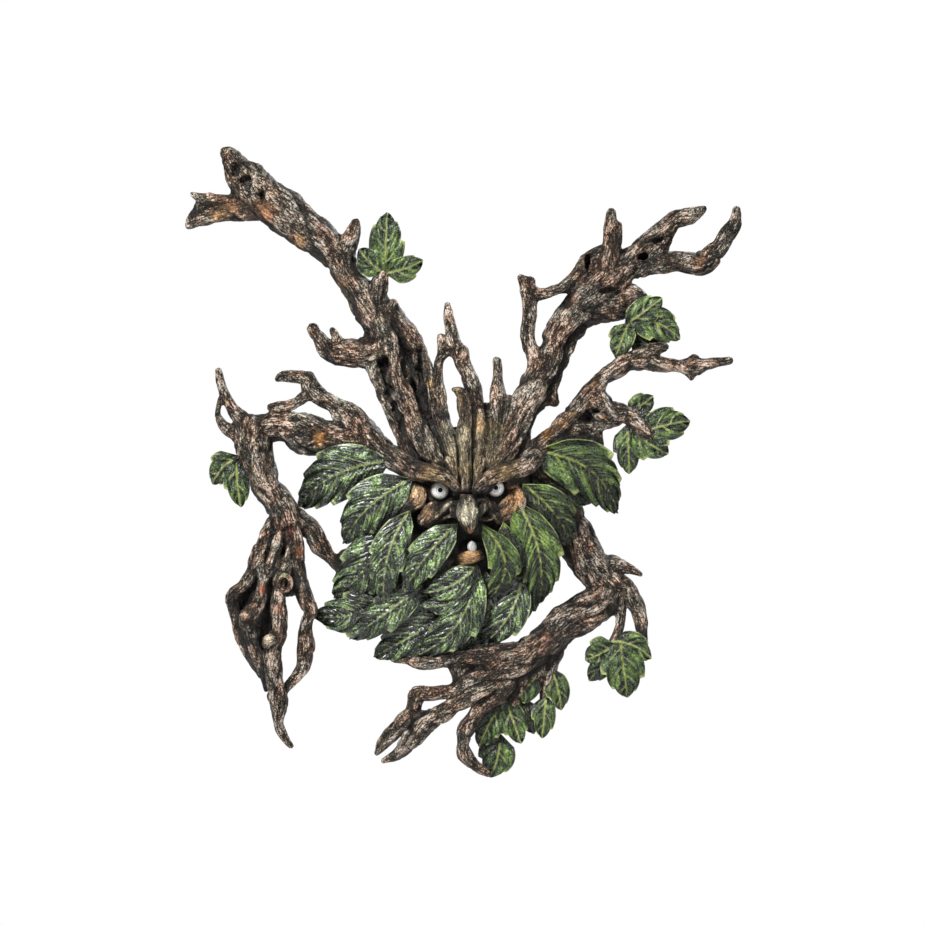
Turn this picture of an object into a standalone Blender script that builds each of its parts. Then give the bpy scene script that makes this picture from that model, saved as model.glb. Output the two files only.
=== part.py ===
"""Wall sculpture of a tree spirit: a bark face masked in leaves, with antler branches and two twig arms.

The sculpture is one casting. Its limbs, head and leaves are drawn on a front-view sheet, where x runs
right and y runs down in units of 1/630 of the height, and stand proud of the wall by the same units.
World axes: +X right, +Z up, the viewer is at -Y and the wall is the plane y = 0.
"""

import math

import bmesh
import bpy
import numpy as np
from mathutils import Vector

# Driving sizes, in metres
HEIGHT = 0.630
HANGING_SLOT_WIDTH = 0.012
HANGING_SLOT_HEIGHT = 0.024
HANGING_SLOT_DEPTH = 0.010
HANGING_SLOT_RISE = 0.020
FUSE_STEP = 0.0026
FACET_COUNT = 9400

# The sheet
SHEET_HEIGHT = 630.0
UNIT = HEIGHT / SHEET_HEIGHT
MOUNT_X, MOUNT_Y = 468.0, 470.0

BARK_COLOUR = (0.12, 0.085, 0.06, 1.0)

# A limb's stations run along its centreline: sheet x, sheet y, how far proud of the wall, radius.
# Bundled strands that make the left antler, from the brow up to its broken crown.
LEFT_ANTLER = {
    "crown": [(402, 385, 60, 10), (391, 350, 52, 14), (379, 324, 46, 17), (364, 300, 42, 16), (351, 278, 40, 15),
              (335, 254, 38, 17), (312, 234, 36, 19.5), (280, 209, 35, 22), (254, 188, 36, 20), (241, 170, 40, 13),
              (230, 156, 43, 9), (225, 150, 45, 5)],
    "crown_edge": [(243, 188, 36, 10), (232, 176, 38, 9), (228, 166, 40, 6.5), (226, 156, 43, 5)],
    "left_prong": [(262, 204, 34, 16), (243, 204, 33, 13.5), (226, 207, 32, 11), (207, 212, 30, 10), (193, 218, 28, 7),
                   (187, 223, 27, 4)],
    "broken_lip": [(228, 202, 34, 8), (208, 198, 32, 7), (198, 196, 31, 5), (190, 192, 31, 2.5)],
    "lip_face": [(206, 206, 30, 9), (198, 208, 29, 8), (193, 214, 28, 6)],
    "crown_knob": [(251, 180, 42, 9), (257, 167, 42, 5)],
    "snag": [(345, 250, 42, 12), (351, 236, 44, 9.5), (355.5, 222, 45, 5.2)],
    "left_strand": [(365, 303, 42, 8.5), (372, 326, 45, 9.5), (373, 352, 50, 10), (378, 378, 54, 8), (390, 404, 60, 8),
                    (402, 430, 66, 9), (411, 456, 70, 10)],
    "middle_strand": [(374, 306, 45, 11), (387, 335, 56, 13), (394, 365, 62, 12), (404, 395, 68, 12), (418, 425, 76, 12),
                      (433, 455, 84, 12), (447, 480, 88, 8)],
    "right_strand": [(389, 308, 45, 8.5), (403, 326, 52, 10), (417, 349, 58, 10), (427, 372, 62, 9), (432, 397, 66, 9),
                     (440, 424, 74, 9.5), (450, 452, 84, 8.5), (458, 480, 90, 6)],
    "inner_strand": [(398, 330, 42, 10), (410, 355, 46, 10), (417, 382, 52, 10), (424, 410, 60, 10), (432, 432, 66, 9)],
    "knot": [(390, 316, 50, 8), (392, 305, 52, 5.5)],
    "side_stub": [(376, 350, 50, 15), (360, 353, 50, 14.5), (344, 353, 48, 13.5), (332, 352, 46, 11.5), (321, 342, 45, 8),
                  (313, 328, 46, 6.6)],
    "side_twig": [(343, 350, 50, 5), (337, 339, 52, 4.5), (332.5, 330, 53, 3.8)],
    "leaf_stem": [(376, 304, 48, 9), (379, 287, 50, 9.5), (384, 274, 53, 5)],
}

CENTRE_HORNS = {
    "stub": [(467, 484, 92, 5.5), (467, 462, 90, 7.5), (466, 438, 86, 8.5), (466, 415, 80, 9), (464, 399, 76, 8.5),
             (459, 392, 74, 5.5), (454, 390, 73, 3)],
    "horn": [(477, 472, 90, 6.5), (480, 440, 84, 8.5), (479, 410, 76, 8.5), (473, 387, 70, 8), (463, 364, 66, 6.5),
             (454, 340, 64, 6), (449, 318, 62, 5), (447.5, 305, 61, 3)],
    "horn_link": [(461, 357, 66, 5), (449, 351, 64, 4.6), (439.5, 360, 62, 5), (437.5, 378, 64, 6), (440, 402, 68, 7),
                  (445, 424, 76, 7), (452, 450, 84, 6)],
    "horn_thorn": [(443, 352, 62, 6), (440.5, 337, 60, 3.6)],
    "horn_bud": [(461, 362, 68, 5), (464, 350, 70, 3.8)],
    "small_horn": [(486, 480, 90, 7), (491, 450, 84, 10), (494, 420, 76, 10), (496, 396, 70, 8), (498, 375, 66, 5.2),
                   (497.5, 361, 64, 4.6)],
    "small_horn_root": [(500, 436, 80, 9), (507, 405, 68, 9)],
}

RIGHT_ANTLER = {
    "crown": [(484, 488, 90, 8), (500, 462, 86, 11), (511, 436, 80, 13), (522, 410, 72, 13), (535, 385, 64, 14),
              (549, 362, 57, 14), (558, 336, 51, 15), (578, 308, 46, 17), (606, 282, 41, 18), (629, 261, 39, 15),
              (648, 244, 39, 12.5), (664, 231, 41, 10), (675, 219, 43, 9), (690, 215, 46, 8.6), (704, 208.5, 49, 4)],
    "second_strand": [(511, 482, 84, 8), (519, 456, 76, 9), (524, 430, 70, 7), (531, 411, 62, 7), (544, 392, 56, 10),
                      (553, 374, 52, 10.5), (560, 357, 50, 10.5), (568, 341, 48, 10), (578, 330, 46, 9)],
    "second_thorn": [(550, 390, 56, 8), (554, 401, 54, 6)],
    "underside": [(583, 314, 42, 13), (600, 304, 38, 18), (618, 296, 36, 16), (633, 292, 36, 11), (645, 300, 38, 7)],
    "crotch": [(642, 264, 40, 13), (654, 250, 40, 13), (663, 240, 42, 9)],
    "lower_prong": [(640, 259, 40, 12), (657, 263, 42, 11.5), (677, 262, 45, 11.5), (700, 264, 49, 12.5),
                    (715, 252, 52, 10), (726, 238, 55, 9), (735, 223, 58, 7.5), (736.5, 211, 60, 4.5)],
    "snag": [(609, 268, 46, 11), (610.5, 250, 50, 9.5), (610.5, 232, 53, 7.5), (611, 213, 55, 5)],
    "snag_fork": [(614, 246, 50, 7), (617, 235, 52, 5), (619.5, 225, 53, 2.6)],
    "fork_stem": [(541, 375, 60, 8), (532, 355, 62, 7.5), (528, 336, 63, 7), (529, 312, 64, 7), (527, 293, 64, 7.5),
                  (521.5, 280, 65, 5.6)],
    "fork_bud": [(528, 292, 64, 6), (531, 281, 65, 4.6)],
    "fork_link": [(529, 294, 64, 6), (541, 295.5, 62, 6.5), (555, 291, 59, 6.5), (568, 284, 55, 7.5), (579, 272, 51, 7.5),
                  (587, 258, 48, 7), (600, 250, 48, 6)],
}

RIGHT_BRANCH = {
    "limb": [(528, 462, 78, 11), (542, 446, 66, 11), (560, 430, 58, 12), (576, 411, 54, 10), (590, 393, 52, 9),
             (601, 380, 52, 8), (614, 371, 53, 8.5), (628, 363, 53, 9), (642, 361, 54, 9.5), (659, 364, 56, 7.4),
             (678, 365, 58, 7), (692, 365.5, 60, 8.4), (708, 364.5, 62, 6.4), (728, 361, 65, 5)],
    "limb_knot": [(692, 366, 60, 7), (694, 358, 61, 4.5)],
    "limb_thorn": [(690, 368, 60, 6), (691, 378, 60, 2.6)],
    "limb_stub": [(639, 357, 55, 7.5), (652, 349, 56, 7), (664, 347, 56, 5.4)],
    "lower_bough": [(590, 394, 50, 8), (598, 404, 50, 14), (611, 413, 52, 12), (626, 414, 55, 10), (639, 424, 60, 7),
                    (651, 437, 64, 3.5)],
    "low_strand": [(545, 444, 60, 10), (562, 432, 54, 13), (579, 428, 50, 13), (594, 433, 48, 8), (601, 444, 47, 3.5)],
    "low_link": [(580, 414, 48, 10), (594, 425, 48, 8), (604, 422, 50, 9), (613, 414, 52, 9)],
}

LEFT_ARM = {
    "shoulder": [(405, 465, 76, 10), (386, 454, 62, 11), (368, 438, 54, 15), (352, 419, 48, 15.5), (337, 408, 46, 9.5),
                 (324, 399, 46, 9), (312, 390, 48, 9), (306, 379, 50, 7), (296, 376.5, 52, 6), (284, 376, 54, 5.8),
                 (278, 379, 55, 3.6)],
    "shoulder_bud": [(313, 386, 50, 6.5), (310, 376, 51, 4.5)],
    "shoulder_link": [(310, 392, 48, 6.5), (299, 400, 50, 5.6), (287, 406, 51, 5.6), (271, 407, 52, 4.8)],
    "upper_arm": [(366, 440, 52, 16), (345, 439, 48, 17), (322, 438, 45, 18.5), (306, 434, 44, 20), (284, 427, 44, 15.5),
                  (264, 427, 45, 15), (249, 429, 46, 15)],
    "elbow_horn": [(252, 428, 46, 13), (240, 418, 47, 9), (229, 403, 50, 6), (221.5, 387, 53, 5), (218.5, 371, 55, 3.2)],
    "elbow_loop": [(246, 441, 46, 9), (234, 434, 47, 7.5), (223, 425, 49, 5.4), (217.5, 413, 51, 3.4), (220, 400, 52, 3)],
    "forearm": [(250, 428, 46, 16), (254, 448, 50, 19), (260, 467, 52, 17), (267, 485, 54, 14), (277, 500, 56, 14),
                (285, 520, 60, 17), (286, 546, 62, 19), (280, 568, 63, 20)],
    "palm_side": [(290, 525, 60, 13), (292, 548, 62, 11.5), (293, 570, 62, 10.5)],
    "first_knuckles": [(268, 548, 62, 12), (256, 570, 64, 9), (243, 590, 68, 8), (234, 599, 72, 7.6), (240, 619, 66, 6),
                       (244.5, 641, 60, 6.2), (254, 660, 56, 5), (260, 676, 54, 3)],
    "outer_web": [(255, 583, 56, 8), (247, 605, 54, 8), (250, 630, 52, 6.5), (257, 655, 52, 5)],
    "second_finger": [(268, 560, 66, 10), (266, 580, 70, 8), (262, 600, 76, 7.5), (252.5, 614, 82, 9), (255, 640, 74, 8),
                      (262, 665, 66, 6), (265, 682, 60, 4.4), (266, 690, 58, 2.6)],
    "inner_web": [(273, 578, 58, 8), (269, 603, 56, 9), (267, 630, 56, 8), (269, 655, 56, 6)],
    "middle_finger": [(287, 560, 68, 11), (284, 590, 74, 9), (282, 620, 80, 9), (274.5, 637, 86, 9.5), (275, 657, 78, 8.4),
                      (275, 680, 70, 8), (278, 697, 66, 10.2), (279.5, 710, 64, 8.4), (279, 722, 62, 6), (284, 736, 60, 5),
                      (291, 745.5, 58, 3.2)],
    "last_finger": [(297, 562, 62, 8), (302, 582, 62, 7.5), (307, 600, 64, 9), (312, 611, 64, 8.5), (307, 625, 62, 7.2),
                    (305, 648, 60, 8.8), (303, 665, 60, 7), (295, 678, 60, 5), (284, 689, 62, 5)],
    "thumb": [(298, 522, 56, 12), (310, 529, 54, 11), (318, 542, 52, 10), (329, 556, 52, 7.5), (339, 567, 54, 7),
              (346, 582, 56, 5)],
    "thumb_tie": [(337, 563, 52, 6), (344, 556, 54, 7), (358, 558, 56, 8)],
    "leaf_stalk": [(250, 468, 46, 6), (243, 474, 46, 5), (238, 464, 48, 4)],
}

RIGHT_ARM = {
    "upper_arm": [(540, 470, 60, 16), (560, 490, 48, 15), (570, 519, 42, 17), (581, 548, 42, 19), (595, 571, 44, 18.5),
                  (610, 586, 47, 16)],
    "elbow_horn": [(611, 566, 46, 10.5), (622, 566.5, 48, 7), (632, 569.5, 50, 5), (641, 574.5, 52, 2.4)],
    "forearm": [(610, 588, 47, 14), (603, 601, 50, 18), (587, 611, 54, 20), (567, 621, 58, 19), (547, 639, 62, 16.5),
                (528, 655, 64, 15.5), (505, 664, 66, 17), (488, 676, 66, 16), (476, 686, 66, 12)],
    "first_twig": [(614, 584, 50, 9), (627, 587, 50, 8.5), (635, 602, 51, 8.4), (640.5, 618, 52, 6.8), (642, 634, 53, 5.8),
                   (644, 650, 54, 3.4)],
    "second_twig": [(614, 594, 50, 10), (620, 606, 52, 6.5), (620.5, 619, 54, 5.4), (618, 631, 56, 5), (611, 643, 58, 4)],
    "thumb": [(512, 650, 66, 9), (492, 653, 68, 10), (474, 656, 70, 10), (456, 658, 72, 9.5), (443, 660, 72, 7),
              (433, 662, 70, 8), (421, 663, 66, 7), (408, 660, 62, 4), (394, 661, 60, 2)],
    "web": [(452, 664, 66, 8), (453, 678, 66, 7), (457, 686, 66, 7)],
    "first_finger": [(494, 670, 72, 10), (474, 679, 74, 10), (453, 688, 76, 8), (434, 692, 78, 8), (423, 698, 80, 9),
                     (416, 713, 74, 8.4), (403, 727, 68, 8.4), (388, 737, 62, 8), (380, 750, 58, 3.8)],
    "second_finger": [(488, 684, 74, 10), (467, 694, 76, 9.6), (450, 707, 80, 9), (430, 720, 80, 10),
                      (412, 738, 74, 9.6), (400, 751, 68, 7.5), (388, 758.5, 64, 3.4)],
    "finger_tie": [(417, 714, 74, 7), (425, 717, 76, 8)],
    "third_finger": [(506, 684, 68, 11), (496, 694, 70, 10), (484, 704, 72, 9), (470, 719, 76, 8.4), (467, 733, 76, 8.6),
                     (466, 752, 70, 7.4), (475, 764, 66, 6.4), (488, 772.5, 62, 3.6)],
    "lower_twig": [(560, 640, 54, 11), (552, 662, 54, 8), (547, 680, 54, 6.5), (544, 700, 54, 5), (541, 722, 54, 3)],
    "back_twig": [(520, 672, 56, 12), (514, 694, 54, 10), (510, 712, 54, 7), (503, 730, 56, 5)],
    "small_twig": [(540, 666, 54, 10), (533, 684, 53, 7), (524, 704, 53, 5)],
}

# The bark of the face itself. The brows run into the arms, and the wings of the nose curl round the nostrils.
FACE = {
    "left_brow": [(460, 491, 94, 6), (448, 485, 96, 8), (434, 477, 94, 9.5), (419, 470, 88, 10.5), (405, 463, 78, 10.5),
                  (393, 455, 66, 10)],
    "right_brow": [(476, 491, 94, 6), (488, 484, 96, 8), (503, 475, 94, 9.5), (518, 467, 88, 10.5), (532, 459, 78, 10.5)],
    "nose": [(467, 488, 96, 6.5), (467, 498, 102, 8.5), (468, 511, 107, 10.5), (468.5, 521, 109, 10.5), (469, 529, 106, 7.5)],
    "left_wing": [(462, 519, 98, 5), (453, 515, 96, 5), (448, 508, 93, 4.4), (453, 502, 93, 3.6), (460, 504, 97, 3)],
    "right_wing": [(474, 519, 98, 5), (483, 515, 96, 5), (488, 508, 93, 4.4), (483, 502, 93, 3.6), (476, 504, 97, 3)],
    "left_fold": [(449, 512, 92, 4), (440, 520, 88, 4), (430, 530, 82, 4)],
    "left_lid": [(427, 488, 84, 4.2), (432, 500, 84, 4), (442, 504, 86, 3.6), (452, 499, 88, 3.4)],
    "right_lid": [(508, 486, 84, 4.2), (504, 498, 84, 4), (494, 501, 86, 3.6), (483, 497, 88, 3.4)],
    "left_cheek": [(417, 488, 80, 7), (418, 498, 82, 9.5), (424, 509, 80, 8.5), (434, 519, 80, 8)],
    "right_cheek": [(519, 484, 78, 6), (515, 497, 82, 10.5), (507, 509, 80, 10), (497, 520, 80, 8)],
    "lower_lip": [(452, 564, 80, 4), (462, 559, 88, 5.5), (473, 556, 89, 5.8), (484, 551, 82, 4.4)],
}

# Solid lumps under the leaves and bark: sheet x, y and proud of the centre, then half sizes across, up and out.
SKULL = ((468, 478, 22), (64, 52, 62))
JAW = ((458, 528, 10), (94, 66, 58))
BEARD_CORE = ((448, 580, 0), (84, 72, 64))
EYES = (((439.7, 491.5, 83), 8.8), ((495.4, 488.5, 83), 8.8))
MOUTH_HOLLOW = ((468.5, 547, 84), (15, 11.5, 26))

# A leaf: base (x, y, proud), tip (x, y, proud), greatest width, and sideways bow of the midrib as a
# share of the length, positive to the right of someone looking from the base to the tip.
MASK_LEAVES = {
    "left_top": ((390, 461, 72), (298, 507, 40), 54, 0.11),
    "left_temple": ((413, 479, 84), (343, 543, 56), 46, 0.09),
    "left_jaw": ((392, 528, 76), (334, 598, 50), 54, -0.03),
    "left_cheek": ((407, 513, 90), (385, 600, 72), 44, 0.05),
    "left_moustache": ((455, 524, 98), (405, 589, 80), 38, 0.0),
    "left_corner": ((400, 594, 70), (313, 616, 48), 46, -0.09),
    "left_under": ((412, 590, 76), (349, 641, 50), 34, 0.0),
    "beard_left": ((450, 612, 72), (374, 657, 46), 52, 0.0),
    "chin": ((478, 564, 84), (414, 655, 62), 62, -0.11),
    "beard_low": ((470, 610, 72), (440, 662, 48), 46, 0.0),
    "chin_upper": ((476, 566, 80), (414, 606, 70), 36, 0.08),
    "beard_right": ((528, 576, 72), (479, 645, 62), 44, -0.09),
    "beard_outer": ((531, 556, 60), (504, 634, 42), 34, -0.10),
    "right_moustache": ((482, 526, 98), (484, 601, 78), 34, -0.26),
    "right_cheek": ((514, 502, 88), (537, 605, 62), 46, -0.12),
    "right_jaw": ((522, 484, 84), (571, 545, 56), 42, -0.08),
    "right_top": ((534, 451, 76), (618, 513, 44), 55, -0.16),
    "right_top_lobe": ((542, 470, 66), (594, 502, 50), 30, 0.0),
}

IVY_LEAVES = {
    "crown_middle": ((385, 274, 54), (387, 212, 50), 36, 0.0),
    "crown_left": ((385, 274, 54), (359, 249, 56), 30, -0.06),
    "crown_right": ((385, 273, 54), (423, 260, 52), 27, 0.06),
    "antler_upper": ((628, 320, 48), (660, 300, 56), 25, 0.0),
    "antler_outer": ((630, 316, 48), (680, 339, 52), 30, -0.08),
    "antler_lower": ((629, 314, 48), (618, 358, 54), 22, 0.05),
    "antler_under": ((628, 330, 42), (667, 347, 44), 32, 0.0),
    "bough_top": ((629, 414, 58), (653, 397, 56), 20, 0.0),
    "bough_outer": ((634, 426, 60), (689, 421, 58), 31, -0.04),
    "bough_lower": ((626, 424, 58), (667, 453, 60), 27, 0.05),
    "bough_hanging": ((624, 422, 56), (627, 473, 58), 29, 0.0),
    "elbow_outer": ((240, 456, 50), (212, 484, 52), 31, 0.10),
    "elbow_hanging": ((237, 460, 50), (241, 507, 54), 27, 0.03),
    "twig_middle": ((619, 637, 60), (627, 697, 62), 44, 0.0),
    "twig_left": ((613, 644, 60), (586, 665, 58), 25, -0.02),
    "twig_low_left": ((612, 646, 58), (588, 678, 56), 22, 0.0),
    "twig_right": ((609, 641, 60), (651, 658, 62), 30, -0.12),
    "hand_first": ((503, 701, 58), (480, 746, 64), 27, 0.04),
    "hand_lowest": ((499, 733, 56), (490, 776, 60), 32, -0.06),
    "hand_second": ((507, 700, 58), (521, 742, 62), 25, 0.0),
    "hand_third": ((523, 698, 54), (535, 733, 56), 19, 0.0),
    "hand_fourth": ((540, 668, 58), (517, 702, 60), 27, 0.06),
    "hand_fifth": ((546, 696, 56), (542, 737, 60), 20, 0.0),
    "hand_last": ((551, 667, 56), (561, 709, 58), 20, -0.05),
}

# Fusing the limbs and thinning their facets trims this much off every radius, so it is added back
LIMB_SWELL = 1.0

# Shares that shape every leaf
LEAF_THICKNESS = 5.2
LEAF_ARCH = 0.10
LEAF_CROWN = 0.16
LEAF_TEETH = 5
TOOTH_DEPTH = 0.16
WIDEST_AT = 0.42


def sheet_point(x, y, proud):
    """World place of a sheet point that stands proud of the wall."""
    return np.array([(x - MOUNT_X) * UNIT, -proud * UNIT, (MOUNT_Y - y) * UNIT])


def clear_scene():
    for obj in list(bpy.data.objects):
        bpy.data.objects.remove(obj)


def link(name, data):
    obj = bpy.data.objects.new(name, data)
    bpy.context.scene.collection.objects.link(obj)
    return obj


def smooth_path(stations, step):
    """Stations joined by a Catmull-Rom curve and sampled about a step apart: rows of x, y, proud, radius."""
    rows = np.array(stations, float)
    ends = np.vstack([2 * rows[0] - rows[1], rows, 2 * rows[-1] - rows[-2]])
    sampled = []
    for before, start, end, after in zip(ends, ends[1:], ends[2:], ends[3:]):
        count = max(2, round(np.linalg.norm((end - start)[:3]) / step))
        t = (np.arange(count) / count)[:, None]
        sampled.append(0.5 * (2 * start + (end - before) * t
                              + (2 * before - 5 * start + 4 * end - after) * t**2
                              + (3 * start - before - 3 * end + after) * t**3))
    return np.vstack([*sampled, rows[-1:]])


def limb_mesh(stations, step=7.0):
    """A tapering round limb: a curve bevelled to each point's radius, with filled ends, as a mesh."""
    path = smooth_path(stations, step)
    curve = bpy.data.curves.new("limb", "CURVE")
    curve.dimensions = "3D"
    curve.bevel_depth = 1.0
    curve.bevel_resolution = 3
    curve.use_fill_caps = True
    spline = curve.splines.new("POLY")
    spline.points.add(len(path) - 1)
    for point, (x, y, proud, radius) in zip(spline.points, path):
        point.co = (*sheet_point(x, y, proud), 1.0)
        point.radius = (max(radius, 1.6) + LIMB_SWELL) * UNIT
    guide = link("limb_guide", curve)
    mesh = bpy.data.meshes.new_from_object(guide.evaluated_get(bpy.context.evaluated_depsgraph_get()))
    bpy.data.objects.remove(guide)
    return mesh


def lump_mesh(centre, half_sizes):
    """An ellipsoid lump."""
    form = bmesh.new()
    bmesh.ops.create_uvsphere(form, u_segments=36, v_segments=24, radius=1.0)
    across, up, out = half_sizes
    bmesh.ops.scale(form, vec=Vector((across, out, up)) * UNIT, verts=form.verts)
    bmesh.ops.translate(form, vec=Vector(sheet_point(*centre)), verts=form.verts)
    mesh = bpy.data.meshes.new("lump")
    form.to_mesh(mesh)
    form.free()
    return mesh


def leaf_outline(t):
    """Half width along the leaf as a share of the greatest: a pointed oval whose margin is cut in teeth."""
    fall = WIDEST_AT / (1 - WIDEST_AT)
    oval = (t / WIDEST_AT) ** (0.8 * fall) * ((1 - t) / (1 - WIDEST_AT)) ** 0.8
    tooth = (t * LEAF_TEETH) % 1.0
    return oval * (1 - TOOTH_DEPTH * (1 - tooth) * (t > 0.15))


def leaf_mesh(base, tip, width, bow, rows=16, columns=4):
    """A leaf as a thick bowed sheet: a grid along the midrib and across it, shelled by its thickness."""
    start, end = sheet_point(*base), sheet_point(*tip)
    run = end - start
    length = np.linalg.norm(run)
    forward = np.array([0.0, -1.0, 0.0])
    side = np.cross(run / length, forward)
    side /= np.linalg.norm(side)
    normal = np.cross(side, run / length)
    t = np.linspace(0.0, 1.0, rows + 1)[:, None, None]
    s = np.linspace(-1.0, 1.0, columns + 1)[None, :, None]
    swing = 4 * t * (1 - t) * length
    half = np.maximum(leaf_outline(np.clip(t, 0.02, 0.985)), 0.05) * width * UNIT / 2
    crown = LEAF_CROWN * width * UNIT * s**2
    middle = start + run * t + side * bow * swing + normal * (LEAF_ARCH * swing - crown)
    front = (middle + side * half * s).reshape(-1, 3)
    back = front - normal * LEAF_THICKNESS * UNIT
    across = columns + 1
    cell = (np.arange(rows)[:, None] * across + np.arange(columns)[None, :]).reshape(-1)
    quads = np.stack([cell, cell + across, cell + across + 1, cell + 1], axis=1)
    along, ribs = np.arange(rows), np.arange(columns)
    last = rows * across
    rim = np.concatenate([
        np.stack([along * across, (along + 1) * across], axis=1),
        np.stack([(along[::-1] + 1) * across + columns, along[::-1] * across + columns], axis=1),
        np.stack([ribs[::-1] + 1, ribs[::-1]], axis=1),
        np.stack([last + ribs, last + ribs + 1], axis=1)])
    count = len(front)
    walls = np.stack([rim[:, 1], rim[:, 0], rim[:, 0] + count, rim[:, 1] + count], axis=1)
    faces = np.concatenate([quads, quads[:, ::-1] + count, walls])
    mesh = bpy.data.meshes.new("leaf")
    mesh.from_pydata(np.vstack([front, back]).tolist(), [], faces.tolist())
    return mesh


def helper(name, mesh):
    """A cutter, left out of the model."""
    obj = link(name, mesh)
    obj.hide_render = True
    obj.display_type = "WIRE"
    return obj


def carved_core():
    """Skull, jaw and beard lumps, with the open mouth hollowed out of each."""
    hollow = helper("mouth_hollow", lump_mesh(*MOUTH_HOLLOW))
    meshes = []
    for lump in (SKULL, JAW, BEARD_CORE):
        core = link("core", lump_mesh(*lump))
        cut = core.modifiers.new("mouth", "BOOLEAN")
        cut.object = hollow
        cut.operation = "DIFFERENCE"
        bpy.context.view_layer.update()
        graph = bpy.context.evaluated_depsgraph_get()
        meshes.append(bpy.data.meshes.new_from_object(core.evaluated_get(graph)))
        bpy.data.objects.remove(core)
    return meshes


def box_cutter(name, low, high):
    form = bmesh.new()
    bmesh.ops.create_cube(form, size=1.0)
    low, high = Vector(low), Vector(high)
    bmesh.ops.scale(form, vec=high - low, verts=form.verts)
    bmesh.ops.translate(form, vec=(low + high) / 2, verts=form.verts)
    mesh = bpy.data.meshes.new(name)
    form.to_mesh(mesh)
    form.free()
    return helper(name, mesh)


def slot_cutter():
    """A blind upright slot with round ends, open at the back."""
    radius = HANGING_SLOT_WIDTH / 2
    straight = HANGING_SLOT_HEIGHT / 2 - radius
    corners = []
    for middle, first in ((straight, 0.0), (-straight, math.pi)):
        for step in range(9):
            angle = first + math.pi * step / 8
            corners.append((radius * math.cos(angle), middle + radius * math.sin(angle)))
    form = bmesh.new()
    ring = [form.verts.new((x, -HANGING_SLOT_DEPTH, z + HANGING_SLOT_RISE)) for x, z in corners]
    face = form.faces.new(ring)
    grown = bmesh.ops.extrude_face_region(form, geom=[face])
    moved = [v for v in grown["geom"] if isinstance(v, bmesh.types.BMVert)]
    bmesh.ops.translate(form, vec=(0, HANGING_SLOT_DEPTH * 2, 0), verts=moved)
    bmesh.ops.recalc_face_normals(form, faces=form.faces)
    mesh = bpy.data.meshes.new("hanging_slot")
    form.to_mesh(mesh)
    form.free()
    return helper("hanging_slot", mesh)


def bark_material():
    material = bpy.data.materials.new("bark_paint")
    material.use_nodes = True
    shader = material.node_tree.nodes["Principled BSDF"]
    shader.inputs["Base Color"].default_value = BARK_COLOUR
    shader.inputs["Roughness"].default_value = 0.5
    shader.inputs["Metallic"].default_value = 0.0
    return material


def cut_away(obj, cutter, name):
    cut = obj.modifiers.new(name, "BOOLEAN")
    cut.object = cutter
    cut.operation = "DIFFERENCE"


def build():
    clear_scene()
    meshes = carved_core()
    for group in (LEFT_ANTLER, CENTRE_HORNS, RIGHT_ANTLER, RIGHT_BRANCH, LEFT_ARM, RIGHT_ARM, FACE):
        meshes += [limb_mesh(stations) for stations in group.values()]
    meshes += [lump_mesh(centre, (radius,) * 3) for centre, radius in EYES]
    for leaves in (MASK_LEAVES, IVY_LEAVES):
        meshes += [leaf_mesh(*leaf) for leaf in leaves.values()]
    joined = bmesh.new()
    for mesh in meshes:
        joined.from_mesh(mesh)
    whole = bpy.data.meshes.new("tree_face")
    joined.to_mesh(whole)
    joined.free()
    sculpture = link("tree_face", whole)
    whole.materials.append(bark_material())
    fuse = sculpture.modifiers.new("fuse", "REMESH")
    fuse.mode = "VOXEL"
    fuse.voxel_size = FUSE_STEP
    bpy.context.view_layer.update()
    fused = sculpture.evaluated_get(bpy.context.evaluated_depsgraph_get()).to_mesh()
    fused.calc_loop_triangles()
    facets = len(fused.loop_triangles)
    thin = sculpture.modifiers.new("thin", "DECIMATE")
    thin.ratio = min(1.0, FACET_COUNT / facets)
    thin.use_collapse_triangulate = True
    margin = 0.1
    wall = box_cutter("wall", (-HEIGHT, 0.0, -HEIGHT), (HEIGHT, margin, HEIGHT))
    cut_away(sculpture, wall, "flat_back")
    cut_away(sculpture, slot_cutter(), "hanging_slot")


build()
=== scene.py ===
"""Looks of the tree spirit wall sculpture, in place of the plain solid of the model.

The sculpture is drawn on a front-view sheet, where x runs right and y runs down in units of 1/630 of the
height, and stands proud of the wall by the same units. The surfaces are worked out in those units, with x
across, y into the wall and z up from the mount, and are scaled to metres at the end.
"""

import math

import bpy
import numpy as np
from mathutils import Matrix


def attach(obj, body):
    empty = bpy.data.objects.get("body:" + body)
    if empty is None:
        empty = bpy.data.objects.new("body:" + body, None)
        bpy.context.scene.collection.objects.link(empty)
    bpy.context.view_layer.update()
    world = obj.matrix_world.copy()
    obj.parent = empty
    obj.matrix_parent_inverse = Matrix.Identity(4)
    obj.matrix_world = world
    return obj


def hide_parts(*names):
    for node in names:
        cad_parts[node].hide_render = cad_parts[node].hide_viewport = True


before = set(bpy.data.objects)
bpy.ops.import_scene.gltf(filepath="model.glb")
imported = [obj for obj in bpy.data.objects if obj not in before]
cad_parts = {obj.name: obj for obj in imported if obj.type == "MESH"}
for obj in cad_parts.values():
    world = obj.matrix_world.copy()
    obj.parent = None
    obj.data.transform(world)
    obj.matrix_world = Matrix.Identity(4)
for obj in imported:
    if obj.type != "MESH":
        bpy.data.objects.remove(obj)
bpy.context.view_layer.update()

# Sizes
HEIGHT = 0.630
UNIT = HEIGHT / 630.0
MOUNT_X, MOUNT_Y = 468.0, 470.0

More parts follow.
